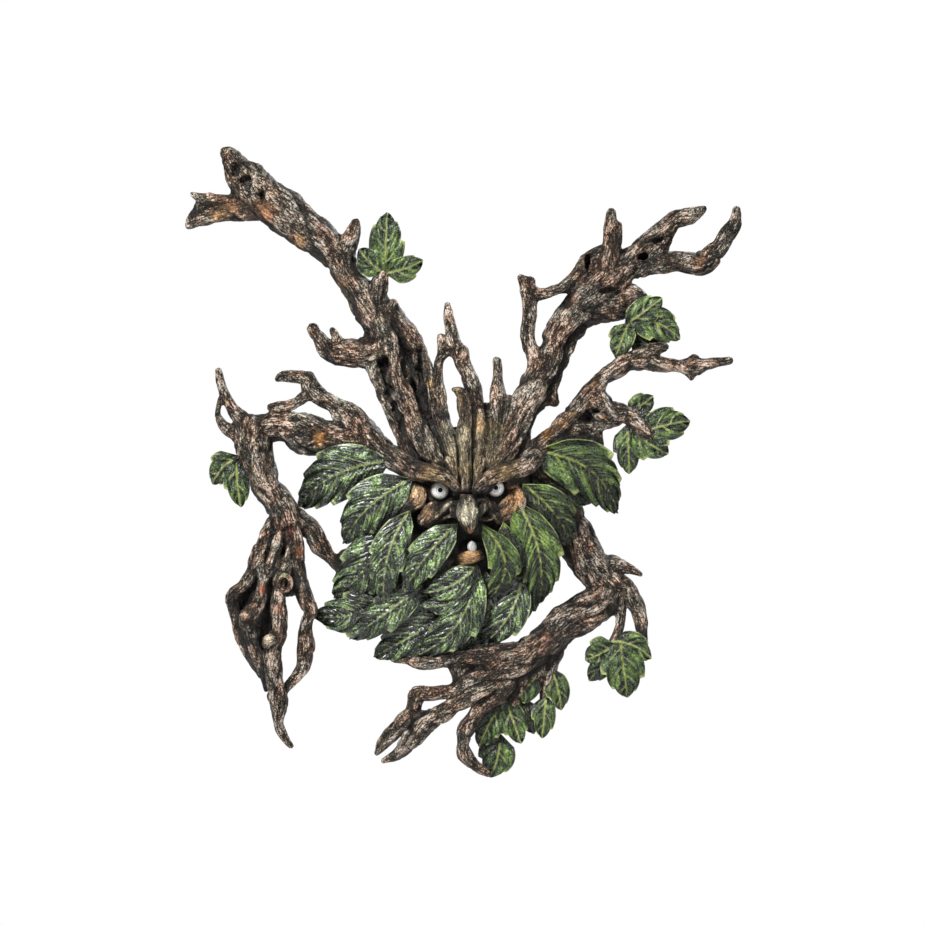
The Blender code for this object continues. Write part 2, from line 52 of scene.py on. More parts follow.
# Limbs: stations of sheet x, y, how proud the middle is, and radius
LEFT_ANTLER = {
    "crown": [(402, 385, 60, 10), (391, 350, 52, 14), (379, 324, 46, 17), (364, 300, 42, 16),
              (351, 278, 40, 15), (335, 254, 38, 17), (312, 234, 36, 19.5), (280, 209, 35, 22),
              (254, 188, 36, 20), (241, 170, 40, 13), (230, 156, 43, 9), (225, 150, 45, 5)],
    "crown_edge": [(243, 188, 36, 10), (232, 176, 38, 9), (228, 166, 40, 6.5), (226, 156, 43, 5)],
    "left_prong": [(262, 204, 34, 16), (243, 204, 33, 13.5), (226, 207, 32, 11), (207, 212, 30, 10),
                   (193, 218, 28, 7), (187, 223, 27, 4)],
    "broken_lip": [(228, 202, 34, 8), (208, 198, 32, 7), (198, 196, 31, 5), (190, 192, 31, 2.5)],
    "lip_face": [(206, 206, 30, 9), (198, 208, 29, 8), (193, 214, 28, 6)],
    "crown_knob": [(251, 180, 42, 9), (257, 167, 42, 5)],
    "snag": [(345, 250, 42, 12), (351, 236, 44, 9.5), (355.5, 222, 45, 5.2)],
    "left_strand": [(365, 303, 42, 8.5), (372, 326, 45, 9.5), (373, 352, 50, 10), (378, 378, 54, 8),
                    (390, 404, 60, 8), (402, 430, 66, 9), (411, 456, 70, 10)],
    "middle_strand": [(374, 306, 45, 11), (387, 335, 56, 13), (394, 365, 62, 12), (404, 395, 68, 12),
                      (418, 425, 76, 12), (433, 455, 84, 12), (447, 480, 88, 8)],
    "right_strand": [(389, 308, 45, 8.5), (403, 326, 52, 10), (417, 349, 58, 10), (427, 372, 62, 9),
                     (432, 397, 66, 9), (440, 424, 74, 9.5), (450, 452, 84, 8.5), (458, 480, 90, 6)],
    "inner_strand": [(398, 330, 42, 10), (410, 355, 46, 10), (417, 382, 52, 10), (424, 410, 60, 10),
                     (432, 432, 66, 9)],
    "knot": [(390, 316, 50, 8), (392, 305, 52, 5.5)],
    "back_web": [(384, 346, 40, 12), (384, 372, 40, 12), (391, 396, 46, 12), (402, 424, 54, 12)],
    "side_stub": [(376, 350, 50, 15), (360, 353, 50, 14.5), (344, 353, 48, 13.5), (332, 352, 46, 11.5),
                  (321, 342, 45, 8), (313, 328, 46, 6.6)],
    "side_twig": [(343, 350, 50, 5), (337, 339, 52, 4.5), (332.5, 330, 53, 3.8)],
    "leaf_stem": [(376, 304, 48, 9), (379, 287, 50, 9.5), (384, 274, 53, 5)],
}

CENTRE_HORNS = {
    "stub_strand": [(467, 484, 92, 5.5), (467, 462, 90, 7.5), (466, 438, 86, 8.5), (466, 415, 80, 9),
                    (464, 399, 76, 8.5), (459, 392, 74, 5.5), (454, 390, 73, 3)],
    "horn_strand": [(477, 472, 90, 6.5), (480, 440, 84, 8.5), (479, 410, 76, 8.5), (473, 387, 70, 8),
                    (463, 364, 66, 6.5), (454, 340, 64, 6), (449, 318, 62, 5), (447.5, 305, 61, 3)],
    "horn_link": [(461, 357, 66, 5), (449, 351, 64, 4.6), (439.5, 360, 62, 5), (437.5, 378, 64, 6),
                  (440, 402, 68, 7), (445, 424, 76, 7), (452, 450, 84, 6)],
    "horn_thorn": [(443, 352, 62, 6), (440.5, 337, 60, 3.6)],
    "horn_bud": [(461, 362, 68, 5), (464, 350, 70, 3.8)],
    "small_horn_strand": [(486, 480, 90, 7), (491, 450, 84, 10), (494, 420, 76, 10), (496, 396, 70, 8),
                          (498, 375, 66, 5.2), (497.5, 361, 64, 4.6)],
    "small_horn_root": [(500, 436, 80, 9), (507, 405, 68, 9)],
}

RIGHT_ANTLER = {
    "crown_strand": [(484, 488, 90, 8), (500, 462, 86, 11), (511, 436, 80, 13), (522, 410, 72, 13),
                     (535, 385, 64, 14), (549, 362, 57, 14), (558, 336, 51, 15), (578, 308, 46, 17),
                     (606, 282, 41, 18), (629, 261, 39, 15), (648, 244, 39, 12.5), (664, 231, 41, 10),
                     (675, 219, 43, 9), (690, 215, 46, 8.6), (704, 208.5, 49, 4)],
    "second_strand": [(511, 482, 84, 8), (519, 456, 76, 9), (524, 430, 70, 7), (531, 411, 62, 7),
                      (544, 392, 56, 10), (553, 374, 52, 10.5), (560, 357, 50, 10.5), (568, 341, 48, 10),
                      (578, 330, 46, 9)],
    "second_thorn": [(550, 390, 56, 8), (554, 401, 54, 6)],
    "underside": [(583, 314, 42, 13), (600, 306, 38, 18), (618, 302, 36, 18), (634, 297, 36, 13),
                  (646, 302, 38, 7)],
    "link_web": [(582, 282, 42, 8), (591, 268, 42, 8), (600, 258, 42, 8)],
    "crotch": [(642, 264, 40, 13), (654, 250, 40, 13), (663, 240, 42, 9)],
    "lower_prong": [(640, 259, 40, 12), (657, 263, 42, 11.5), (677, 262, 45, 11.5), (700, 264, 49, 12.5),
                    (715, 252, 52, 10), (726, 238, 55, 9), (735, 223, 58, 7.5), (736.5, 211, 60, 4.5)],
    "snag": [(609, 268, 46, 11), (610.5, 250, 50, 9.5), (610.5, 232, 53, 7.5), (611, 213, 55, 5)],
    "snag_fork": [(614, 246, 50, 7), (617, 235, 52, 5), (619.5, 225, 53, 2.6)],
    "fork_stem": [(541, 375, 60, 8), (532, 355, 62, 7.5), (528, 336, 63, 7), (529, 312, 64, 7),
                  (527, 293, 64, 7.5), (521.5, 280, 65, 5.6)],
    "fork_bud": [(528, 292, 64, 6), (531, 281, 65, 4.6)],
    "fork_link": [(529, 294, 64, 6), (541, 295.5, 62, 6.5), (555, 291, 59, 6.5), (568, 284, 55, 7.5),
                  (579, 272, 51, 7.5), (587, 258, 48, 7), (600, 250, 48, 6)],
}

RIGHT_BRANCH = {
    "limb": [(528, 462, 78, 11), (542, 446, 66, 11), (560, 430, 58, 12), (576, 411, 54, 10),
             (590, 393, 52, 9), (601, 380, 52, 8), (614, 371, 53, 8.5), (628, 363, 53, 9),
             (642, 361, 54, 9.5), (659, 364, 56, 7.4), (678, 365, 58, 7), (692, 365.5, 60, 8.4),
             (708, 364.5, 62, 6.4), (728, 361, 65, 5)],
    "limb_knot": [(692, 366, 60, 7), (694, 358, 61, 4.5)],
    "limb_thorn": [(690, 368, 60, 6), (691, 378, 60, 2.6)],
    "limb_stub": [(639, 357, 55, 7.5), (652, 349, 56, 7), (664, 347, 56, 5.4)],
    "lower_bough": [(590, 394, 50, 8), (598, 404, 50, 14), (611, 413, 52, 12), (626, 414, 55, 10),
                    (639, 424, 60, 7), (651, 437, 64, 3.5)],
    "low_strand": [(545, 444, 60, 10), (562, 432, 54, 13), (579, 428, 50, 13), (594, 433, 48, 8),
                   (601, 444, 47, 3.5)],
    "low_link": [(580, 414, 48, 10), (594, 425, 48, 8), (604, 422, 50, 9), (613, 414, 52, 9)],
}

LEFT_ARM = {
    "shoulder": [(405, 465, 76, 10), (386, 454, 62, 11), (368, 438, 54, 15), (352, 419, 48, 15.5),
                 (337, 408, 46, 9.5), (324, 399, 46, 9), (312, 390, 48, 9), (306, 379, 50, 7),
                 (296, 376.5, 52, 6), (284, 376, 54, 5.8), (278, 379, 55, 3.6)],
    "shoulder_bud": [(313, 386, 50, 6.5), (310, 376, 51, 4.5)],
    "shoulder_link": [(310, 392, 48, 6.5), (299, 400, 50, 5.6), (287, 406, 51, 5.6), (271, 407, 52, 4.8)],
    "upper_arm": [(366, 440, 52, 16), (345, 439, 48, 17), (322, 438, 45, 18.5), (306, 434, 44, 20),
                  (284, 427, 44, 15.5), (264, 427, 45, 15), (249, 429, 46, 15)],
    "elbow_horn": [(252, 428, 46, 13), (240, 418, 47, 9), (229, 403, 50, 6), (221.5, 387, 53, 5),
                   (218.5, 371, 55, 3.2)],
    "elbow_loop": [(246, 441, 46, 9), (234, 434, 47, 7.5), (223, 425, 49, 5.4), (217.5, 413, 51, 3.4),
                   (220, 400, 52, 3)],
    "forearm": [(250, 428, 46, 16), (254, 448, 50, 19), (260, 467, 52, 17), (267, 485, 54, 14),
                (277, 500, 56, 14), (285, 516, 60, 15), (286, 530, 56, 15), (284, 548, 50, 15),
                (280, 566, 46, 14)],
    "palm_side_strand": [(290, 520, 60, 10), (296, 532, 64, 7), (299, 548, 64, 6.5), (298, 566, 62, 6.5),
                         (299, 580, 60, 6.5)],
    "palm_middle_strand": [(288, 518, 62, 6), (290, 545, 64, 4.5), (287, 560, 67, 5), (287, 574, 70, 6)],
    "hollow_strand": [(280, 520, 64, 6), (279, 535, 68, 6), (277, 550, 69, 6.5), (273, 566, 68, 7),
                      (266, 576, 68, 6)],
    "back_strand": [(272, 522, 60, 6), (268, 538, 62, 9), (262, 552, 62, 10.5), (258, 564, 62, 10)],
    "first_knuckles": [(262, 556, 58, 10), (254, 572, 60, 8), (244, 586, 66, 6.5), (233, 596, 70, 7.4),
                       (236, 612, 66, 6), (242, 636, 60, 6.2), (253, 660, 56, 5), (260, 676, 54, 3)],
    "outer_web": [(255, 583, 54, 10), (246, 603, 52, 10), (250, 630, 52, 6.5), (257, 655, 52, 5)],
    "second_finger": [(264, 566, 66, 6), (264.5, 582, 72, 5.6), (261, 600, 78, 6), (251, 614, 84, 8.6),
                      (250.5, 630, 80, 7), (255, 645, 74, 6.5), (262, 665, 66, 6), (265, 682, 60, 4.4),
                      (266, 690, 58, 2.6)],
    "inner_web": [(273, 578, 54, 10), (269, 603, 52, 11), (266, 627, 52, 10), (269, 655, 56, 6)],
    "palm_web": [(291, 556, 54, 10), (291, 574, 54, 11), (291, 588, 54, 9)],
    "middle_finger": [(286, 566, 70, 6), (280, 582, 72, 6.5), (281, 600, 78, 7), (281.5, 616, 82, 8.6),
                      (281, 632, 82, 8.2), (275, 643, 80, 8.8), (274, 658, 77, 8.6), (275, 680, 70, 8),
                      (278, 697, 66, 10.2), (279.5, 710, 64, 8.4), (279, 722, 62, 6), (284, 736, 60, 5),
                      (291, 745.5, 58, 3.2)],
    "finger_knob": [(277, 636, 86, 4.5), (270.5, 638, 90, 6.2), (268, 643, 86, 4.5)],
    "knuckle_knob": [(254, 611, 86, 4.5), (248, 616, 90, 6.0), (246, 623, 86, 4.5)],
    "knot_ring": [(280, 581, 79, 2.0), (282, 576, 80, 2.4), (287, 574.5, 80, 2.4), (291.5, 579, 80, 2.4),
                  (291, 586, 79, 2.4), (284.5, 590.5, 79, 2.4), (280, 584, 79, 2.0)],
    "last_finger": [(297, 562, 62, 8), (302, 582, 62, 7.5), (307, 600, 64, 9), (312, 611, 64, 8.5),
                    (307, 625, 62, 7.2), (305, 648, 60, 8.8), (303, 665, 60, 7), (295, 678, 60, 5),
                    (284, 689, 62, 5)],
    "thumb": [(298, 522, 56, 12), (310, 529, 54, 11), (318, 542, 52, 10), (329, 556, 52, 7.5),
              (339, 567, 54, 7), (346, 582, 56, 5)],
    "thumb_tie": [(337, 563, 52, 6), (344, 556, 54, 7), (358, 558, 56, 8)],
    "scar": [(311, 441.5, 59, 5), (318, 437.5, 60, 6), (325, 433, 60, 4)],
    "leaf_stalk": [(250, 468, 46, 6), (243, 474, 46, 5), (238, 464, 48, 4)],
}

RIGHT_ARM = {
    "upper_arm": [(540, 470, 60, 16), (560, 490, 48, 15), (570, 519, 42, 17), (581, 548, 42, 19),
                  (595, 571, 44, 18.5), (610, 586, 47, 16)],
    "elbow_horn": [(611, 566, 46, 10.5), (622, 566.5, 48, 7), (632, 569.5, 50, 5), (641, 574.5, 52, 2.4)],
    "forearm": [(610, 588, 47, 14), (603, 601, 50, 18), (587, 611, 54, 20), (567, 621, 58, 19),
                (547, 639, 62, 16.5), (528, 655, 64, 15.5), (505, 664, 66, 17), (488, 676, 66, 16),
                (476, 686, 66, 12)],
    "first_twig": [(614, 584, 50, 9), (627, 587, 50, 8.5), (635, 602, 51, 8.4), (640.5, 618, 52, 6.8),
                   (642, 634, 53, 5.8), (644, 650, 54, 3.4)],
    "second_twig": [(614, 594, 50, 10), (620, 606, 52, 6.5), (620.5, 619, 54, 5.4), (618, 631, 56, 5),
                    (611, 643, 58, 4)],
    "thumb": [(512, 650, 66, 9), (492, 653, 68, 10), (474, 656, 70, 10), (456, 658, 72, 9.5),
              (443, 660, 72, 7), (433, 662, 70, 8), (421, 663, 66, 7), (408, 660, 62, 4),
              (394, 661, 60, 2)],
    "web": [(463, 662, 68, 11), (458, 670, 68, 10), (459, 682, 70, 9)],
    "first_finger": [(494, 670, 72, 10), (474, 679, 74, 10), (453, 688, 76, 8), (434, 691, 78, 7),
                     (418, 692, 80, 9), (413, 708, 74, 7), (403, 722, 70, 8.4), (390, 735, 64, 7.4),
                     (383, 743, 60, 6), (377, 752, 58, 3.2)],
    "second_finger": [(488, 684, 74, 10), (467, 694, 76, 9.6), (450, 707, 80, 9), (430, 720, 80, 10),
                      (414, 736, 76, 10.4), (402, 750, 70, 7.2), (393, 756, 66, 5), (384, 760, 64, 2.6)],
    "finger_tie": [(417, 714, 74, 7), (425, 717, 76, 8)],
    "third_finger": [(506, 684, 68, 11), (496, 694, 70, 10), (484, 703, 72, 9), (474, 715, 76, 7.6),
                     (466, 728, 78, 9.4), (463, 741, 74, 6.4), (465, 753, 70, 7.2), (475, 765, 66, 6.2),
                     (488, 773, 62, 3.6)],
    "lower_twig": [(560, 640, 54, 11), (552, 662, 54, 8), (547, 680, 54, 6.5), (544, 700, 54, 5),
                   (541, 722, 54, 3)],
    "back_twig": [(520, 672, 56, 12), (514, 694, 54, 10), (510, 712, 54, 7), (503, 730, 56, 5)],
    "small_twig": [(540, 666, 54, 10), (533, 684, 53, 7), (524, 704, 53, 5)],
}

FACE = {
    "left_brow": [(458, 490, 95, 4.5), (452.5, 483, 98, 6), (445.5, 476.5, 98, 8), (433, 473, 95, 9.8),
                  (418, 471, 88, 10), (405, 464, 78, 10), (393, 455, 66, 10)],
    "right_brow": [(476, 490, 95, 4.5), (482, 485, 98, 6.5), (489, 477.8, 98, 8), (498, 474, 96, 9.2),
                   (510, 470.5, 88, 10), (519, 467, 84, 10), (532, 459, 78, 10)],
    "left_frown_strand": [(456, 493, 94, 3), (455, 480, 96, 4.5), (450, 462, 92, 6.5)],
    "middle_frown_strand": [(465.5, 491, 96, 3.8), (465.5, 478, 97, 4.4), (465, 460, 95, 5.5),
                            (465, 440, 90, 6)],
    "right_frown_strand": [(475, 493, 94, 3.4), (477, 478, 96, 4.5), (480, 462, 93, 6)],
    "nose": [(466, 494, 97, 5.5), (467, 500, 102, 8), (467.5, 507, 106, 10.4), (468, 514, 109, 10.6),
             (469, 521, 110, 8.6), (469.5, 527.5, 108, 5.4)],
    "left_nostril": [(455, 509, 97, 5.4), (459, 514, 98, 5)],
    "left_wing": [(460, 504, 101, 1.8), (455, 501.8, 101, 2.3), (448, 504, 100, 2.6), (443, 510, 97, 2.8),
                  (436, 517, 92, 3.4), (428, 523, 85, 4.2)],
    "left_nostril_rim": [(458, 516, 98, 2.6), (450, 515.5, 96, 2.0), (444, 518, 93, 1.8),
                         (437, 521, 89, 2.2)],
    "right_nostril": [(482, 507, 97, 5.2), (478, 513, 98, 5)],
    "right_wing": [(476, 501.5, 101, 1.6), (482, 498.8, 101, 2.1), (488, 501, 99, 2.4),
                   (492, 506, 96, 2.4), (490, 512, 92, 2.0)],
    "right_nostril_rim": [(478, 517, 98, 2.6), (484, 519, 93, 2.2), (491, 518, 88, 2.0)],
    "left_cheek": [(416, 484, 81, 4), (419, 492, 84, 7), (418, 500, 85, 8.4), (411, 506, 84, 6.4),
                   (403, 514, 84, 2.6)],
    "right_temple": [(516, 478, 70, 8), (527, 480, 60, 8), (538, 485, 48, 7)],
    "left_jowl": [(436, 505, 83, 6), (432, 511, 84, 9.5), (426, 519, 81, 9)],
    "left_jowl_inner": [(446, 508, 87, 4.5), (440, 516, 86, 7), (435, 523, 82, 6)],
    "right_cheek": [(514, 486, 82, 4), (519, 495, 84, 6), (518, 504, 85, 7), (512, 512, 84, 7.5),
                    (504, 518, 82, 7)],
    "right_cheek_inner": [(509, 494, 83, 3.5), (507, 502, 86, 7.5), (502, 511, 84, 8)],
    "right_jowl": [(491, 503, 86, 4.5), (494, 511, 87, 6.5), (500, 518, 83, 6)],
    "left_lid": [(428, 490, 80, 3), (433, 500, 80, 3), (442, 503, 82, 2.6), (451, 499, 86, 2.6)],
    "right_lid": [(507, 487, 80, 3), (504, 496, 80, 3), (495, 500, 82, 2.6), (486, 496, 86, 2.6)],
    "lower_lip": [(458, 558.5, 82, 4.4), (468, 556, 87, 6.6), (479, 553, 84, 4.8)],
    "lip_rim": [(452, 564, 80, 1.6), (462, 562.5, 88, 2.1), (472, 560.5, 90, 2.2), (484, 556.5, 84, 1.8)],
}

# Leaves: base and tip on the sheet with how proud each is, width, and bow to the side
LEFT_LEAVES = {
    "top": ((390, 461, 72), (298, 507, 40), 54, 0.11),
    "temple": ((413, 478, 88), (344, 543, 62), 48, 0.09),
    "jaw": ((392, 526, 76), (334, 598, 50), 52, -0.06),
    "cheek": ((410, 510, 94), (385, 602, 78), 36, 0.09),
    "moustache": ((457, 523, 100), (405, 590, 84), 36, 0.05),
    "corner": ((400, 594, 64), (313, 616, 46), 46, -0.09),
    "under": ((424, 584, 78), (350, 639, 56), 36, 0.0),
    "under_lobe": ((428, 592, 74), (410, 628, 66), 22, 0.05),
}

BEARD_LEAVES = {
    "core": ((470, 590, 60), (440, 655, 44), 70, 0.0),
    "long": ((459, 608, 70), (374, 657, 48), 44, 0.0),
    "chin": ((477, 563, 84), (414, 656, 66), 42, -0.15),
    "upper": ((475, 566, 92), (424, 591, 84), 30, -0.10),
    "middle": ((472, 584, 88), (420, 604, 80), 23, -0.14),
    "low": ((470, 610, 72), (440, 662, 48), 40, 0.0),
    "hanging": ((473, 590, 76), (468, 638, 62), 24, 0.03),
    "dark": ((486, 572, 78), (483, 640, 58), 30, -0.05),
    "right": ((522, 573, 74), (480, 645, 62), 37, -0.11),
    "outer": ((531, 556, 60), (503, 634, 44), 29, -0.10),
}

RIGHT_LEAVES = {
    "moustache": ((482, 524, 98), (486, 600, 78), 32, -0.26),
    "moustache_lobe": ((484, 530, 94), (492, 563, 84), 16, -0.12),
    "crease_shade": ((503, 522, 88), (520, 572, 76), 26, 0.05),
    "cheek": ((517, 502, 90), (538, 605, 62), 46, -0.10),
    "jaw": ((522, 484, 84), (571, 545, 56), 42, -0.08),
    "top": ((534, 451, 76), (618, 513, 44), 55, -0.16),
    "top_lobe": ((528, 472, 66), (592, 503, 50), 34, 0.0),
}

IVY_LEAVES = {
    "crown_middle": ((385, 274, 54), (387, 212, 50), 36, 0.0),
    "crown_left": ((385, 274, 54), (359, 249, 56), 30, -0.06),
    "crown_right": ((385, 273, 54), (423, 260, 52), 27, 0.06),
    "antler_upper": ((625, 326, 50), (662, 298, 58), 30, 0.0),
    "antler_outer": ((632, 318, 50), (680, 339, 56), 36, -0.10),
    "antler_lower": ((631, 322, 50), (616, 358, 56), 27, 0.05),
    "antler_under": ((630, 332, 42), (666, 348, 44), 34, 0.0),
    "bough_top": ((627, 416, 58), (653, 396, 56), 26, 0.0),
    "bough_outer": ((638, 434, 60), (690, 421, 58), 38, -0.04),
    "bough_lower": ((632, 430, 58), (668, 454, 60), 34, 0.05),
    "bough_hanging": ((627, 424, 56), (629, 474, 58), 29, 0.0),
    "elbow_outer": ((240, 456, 50), (212, 484, 52), 31, 0.10),
    "elbow_hanging": ((237, 460, 50), (241, 507, 54), 27, 0.03),
    "twig_middle": ((619, 637, 60), (627, 697, 62), 44, 0.0),
    "twig_left": ((616, 644, 60), (585, 660, 58), 32, -0.02),
    "twig_low_left": ((614, 648, 58), (589, 681, 56), 26, 0.0),
    "twig_right": ((609, 641, 60), (651, 658, 62), 30, -0.12),
    "hand_first": ((503, 701, 58), (479, 746, 64), 31, 0.04),
    "hand_lowest": ((500, 733, 56), (490, 777, 60), 38, -0.06),
    "hand_second": ((505, 698, 58), (521, 743, 62), 29, 0.0),
    "hand_third": ((522, 697, 54), (534, 734, 56), 23, 0.0),
    "hand_fourth": ((539, 674, 58), (516, 702, 60), 31, 0.06),
    "hand_fifth": ((546, 694, 56), (542, 738, 60), 25, 0.0),
    "hand_last": ((550, 667, 56), (561, 710, 58), 26, -0.05),
}

# Lumps and hollows: middle, half sizes across, down and out, and the width of a hollow's rounding
SKULL = ((468, 478, 22), (64, 52, 62))
SKULL_BACK = ((468, 478, 20), (62, 50, 58))
HANGING_SLOT = (((468, 450, 0), (6, 10, 10), 0.8), ((468, 444, 0), (6, 6, 10), 0.8),
                ((468, 456, 0), (6, 6, 10), 0.8))
# How far off the wall the back of the face lies
FACE_BACK = 6.0
# Behind the mask: middle and half sizes
JAW = ((458, 528, 10), (94, 66, 58))
BEARD_CORE = ((448, 580, 0), (84, 72, 64))
# Eyes: middle and radius, then the way from the middle to the pupil in x, y and z
EYES = {"left": ((439.7, 490, 83), 9.3), "right": ((495.3, 488, 83), 8.8)}
GAZE = {"left": (0.8, -9.2, 0.2), "right": (0.2, -8.8, 0.6)}
# Hollows, and the tooth: middle, half sizes, and the width of a hollow's rounding
SOCKETS = (((439.7, 491.5, 88), (12, 10, 14), 3.0), ((495.4, 489.5, 88), (12, 10, 14), 3.0))
NOTCH = ((466.5, 493.0, 106), (11, 1.6, 13), 1.0)
ANTLER_HOLLOWS = (((235, 170, 53), (5, 8, 12), 2.0), ((246, 179, 55), (6, 4.5, 11), 2.0),
                  ((262, 196, 59), (5, 8, 11), 2.0), ((190, 208, 40), (5, 11, 12), 2.0),
                  ((385, 366, 66), (5, 11, 11), 2.0), ((405, 370, 70), (4, 9, 12), 3.0),
                  ((413, 386, 64), (3, 6, 10), 3.0), ((420, 368, 68), (3.5, 22, 12), 3.0),
                  ((424, 398, 76), (3.5, 14, 12), 3.0), ((389, 395, 70), (3.5, 8, 12), 1.5),
                  ((395, 408, 74), (3.5, 8, 12), 1.5), ((403, 424, 78), (3, 8, 12), 1.5))
RIGHT_HOLLOWS = (((658, 240, 52), (7, 3.5, 9), 2.0), ((644, 256, 52), (5, 3, 9), 2.0),
                 ((588, 262, 52), (3, 8, 10), 1.5), ((612, 291, 56), (13, 3, 8), 2.0))
BRANCH_HOLLOWS = (((588, 417, 60), (5.5, 4, 10), 2.0), ((597, 411, 62), (6, 4, 10), 2.0))
KNOT_HOLE = (((285.8, 582.2, 84), (3.6, 4.4, 9), 0.8),)
MOUTH = ((468.5, 546, 84), (15, 12.5, 26), 3.0)
TOOTH = ((472.0, 546.0, 87), (4.8, 5.8, 4))

# Colours brushed on in soft spots over the bark: sheet x, y, radius, strength and colour. The near black
# spots, in the broken lip's hollow and between the fingers, are painted shade
TINTS_AND_SHADE = (
    (418, 496, 15, 0.9, (0.70, 0.46, 0.26)), (446, 508, 11, 0.7, (0.50, 0.42, 0.32)),
    (485, 507, 10, 0.6, (0.36, 0.27, 0.19)), (428, 514, 11, 0.7, (0.42, 0.26, 0.14)),
    (514, 496, 15, 0.8, (0.42, 0.22, 0.10)), (507, 512, 10, 0.7, (0.45, 0.24, 0.13)),
    (466, 440, 40, 0.6, (0.37, 0.32, 0.21)), (468, 512, 17, 0.9, (0.60, 0.55, 0.40)),
    (469, 531, 6, 0.8, (0.55, 0.22, 0.10)), (469, 557, 22, 1.0, (0.62, 0.36, 0.17)),
    (430, 474, 18, 0.6, (0.42, 0.27, 0.12)), (505, 470, 20, 0.6, (0.42, 0.27, 0.12)),
    (479, 425, 12, 0.5, (0.45, 0.24, 0.08)), (500, 430, 12, 0.4, (0.40, 0.28, 0.10)),
    (455, 395, 16, 0.5, (0.50, 0.34, 0.14)), (445, 486, 6, 0.8, (0.30, 0.17, 0.08)),
    (320, 438, 10, 0.9, (0.80, 0.38, 0.12)), (262, 212, 20, 0.8, (0.40, 0.20, 0.10)),
    (230, 206, 18, 0.7, (0.36, 0.19, 0.10)), (190, 208, 8, 1.0, (0.03, 0.025, 0.02)),
    (291, 530, 9, 0.6, (0.30, 0.11, 0.07)), (299, 550, 10, 0.7, (0.34, 0.13, 0.06)),
    (264, 588, 9, 0.7, (0.28, 0.10, 0.06)), (281, 607, 10, 0.6, (0.28, 0.11, 0.07)),
    (248, 600, 8, 1.0, (0.012, 0.012, 0.012)), (264, 622, 8, 1.0, (0.012, 0.012, 0.012)),
    (247, 640, 7, 0.8, (0.02, 0.018, 0.015)), (270, 637, 7, 0.9, (0.85, 0.70, 0.50)),
    (248, 615, 7, 0.8, (0.70, 0.46, 0.32)), (285, 574, 5, 0.8, (0.60, 0.55, 0.30)),
    (262, 638, 6, 1.0, (0.012, 0.012, 0.012)), (445, 440, 26, 0.3, (0.32, 0.28, 0.18)),
    (490, 440, 24, 0.3, (0.34, 0.28, 0.17)), (466, 470, 22, 0.4, (0.46, 0.34, 0.16)),
    (450, 673, 5, 0.9, (0.02, 0.02, 0.02)), (545, 640, 16, 0.6, (0.42, 0.20, 0.11)),
    (700, 262, 12, 0.6, (0.40, 0.20, 0.10)), (570, 300, 14, 0.5, (0.44, 0.22, 0.10)),
    (545, 432, 12, 0.7, (0.60, 0.28, 0.09)), (563, 424, 9, 0.7, (0.62, 0.36, 0.18)),
    (572, 415, 6, 0.7, (0.66, 0.42, 0.18)), (594, 384, 7, 0.7, (0.62, 0.36, 0.18)),
    (604, 417, 5, 0.7, (0.60, 0.32, 0.18)), (431, 384, 5, 0.8, (0.62, 0.40, 0.15)),
    (410, 374, 5, 0.7, (0.60, 0.40, 0.18)), (422, 414, 8, 0.6, (0.50, 0.32, 0.16)),
    (408, 404, 6, 0.6, (0.50, 0.33, 0.20)), (296, 243, 14, 0.8, (0.46, 0.26, 0.13)),
    (318, 265, 14, 0.8, (0.46, 0.25, 0.12)), (338, 286, 12, 0.8, (0.46, 0.26, 0.13)),
    (215, 214, 12, 0.6, (0.46, 0.27, 0.12)),
)
# Painted shade: the core behind the mask is brushed near black all over, so the gaps between the leaves
# look shaded
CORE_PAINTED_SHADE = ((450, 560, 200, 1.0, (0.012, 0.010, 0.008)),)

# Shares and sizes that shape every limb, in units
MIN_RADIUS = 1.8
PATH_STEP = 5.0
FAR = 12.0
MARGIN = 5.0
BOX_MARGIN = 4.0
BEHIND_WALL = 3.0
LUMP_BLEND = 12.0
ANTLER_BLEND = 7.0
BRANCH_BLEND = 6.0
ARM_BLEND = 4.0
FACE_BLEND = 3.0
CORE_BLEND = 2.0
STRAND_BLEND = 1.2

# Bark: how far the grain is drawn out, the sizes of its cracks, lumps and pits, and their heights
GRAIN_STRETCH = 4.0
GRAIN_BEND, BEND_SIZE = 1.6, 13.0
BROAD_CRACKS, MIDDLE_CRACKS, FINE_CRACKS = 6.5, 3.8, 2.3
CRACK_WIDTH = 0.16
LUMP_SIZE, SMALL_LUMP_SIZE, PIT_SIZE = 19.0, 9.0, 6.5
BARK_DEPTH, LUMP_HEIGHT, PIT_DEPTH = 2.2, 2.2, 3.0
FULL_GIRTH, LUMP_GIRTH = 11.0, 14.0
GRAIN_APART = 400.0
FACE_ROUGHNESS = 0.62
SEAM_WIDTH, SEAM_DEPTH, SEAM_GIRTH = 2.0, 3.6, 8.0
PLAIN_SEAM = 0.15
# Painted shade that darkens the grooves along the seams between strands
SEAM_PAINTED_SHADE = 3.0
RELIEF_FADE = 6.0
TINT_FALL = 1.4

# Leaves: thickness, curl and relief. Each kind has its vein gap, its veins to a lobe and its notch depth
LEAF_THICKNESS = 3.8
LEAF_ARCH = 0.10
LEAF_CROWN = 0.02
LEAF_SWEEP, LARGEST_LEAN = 1.9, 0.92
LOBED_LEAF = (14.0, 2, 0.22)
NOTCHED_LEAF = (12.0, 2, 0.23)
IVY_LEAF = (20.0, 1, 0.24)
LEAF_QUILT = 1.9
LEAF_VEIN = 1.5
LEAF_MIDRIB = 1.5
LEAF_CRINKLE = 0.8
LEAF_WAVE = 0.10
LEAF_CURL = 0.05
LEAF_FULLNESS = 1.10
WIDEST_AT = 0.42
VEIN_WOBBLE = 0.24
FEWEST_ROWS, FEWEST_COLUMNS, FEWEST_VEINS = 20, 5, 2

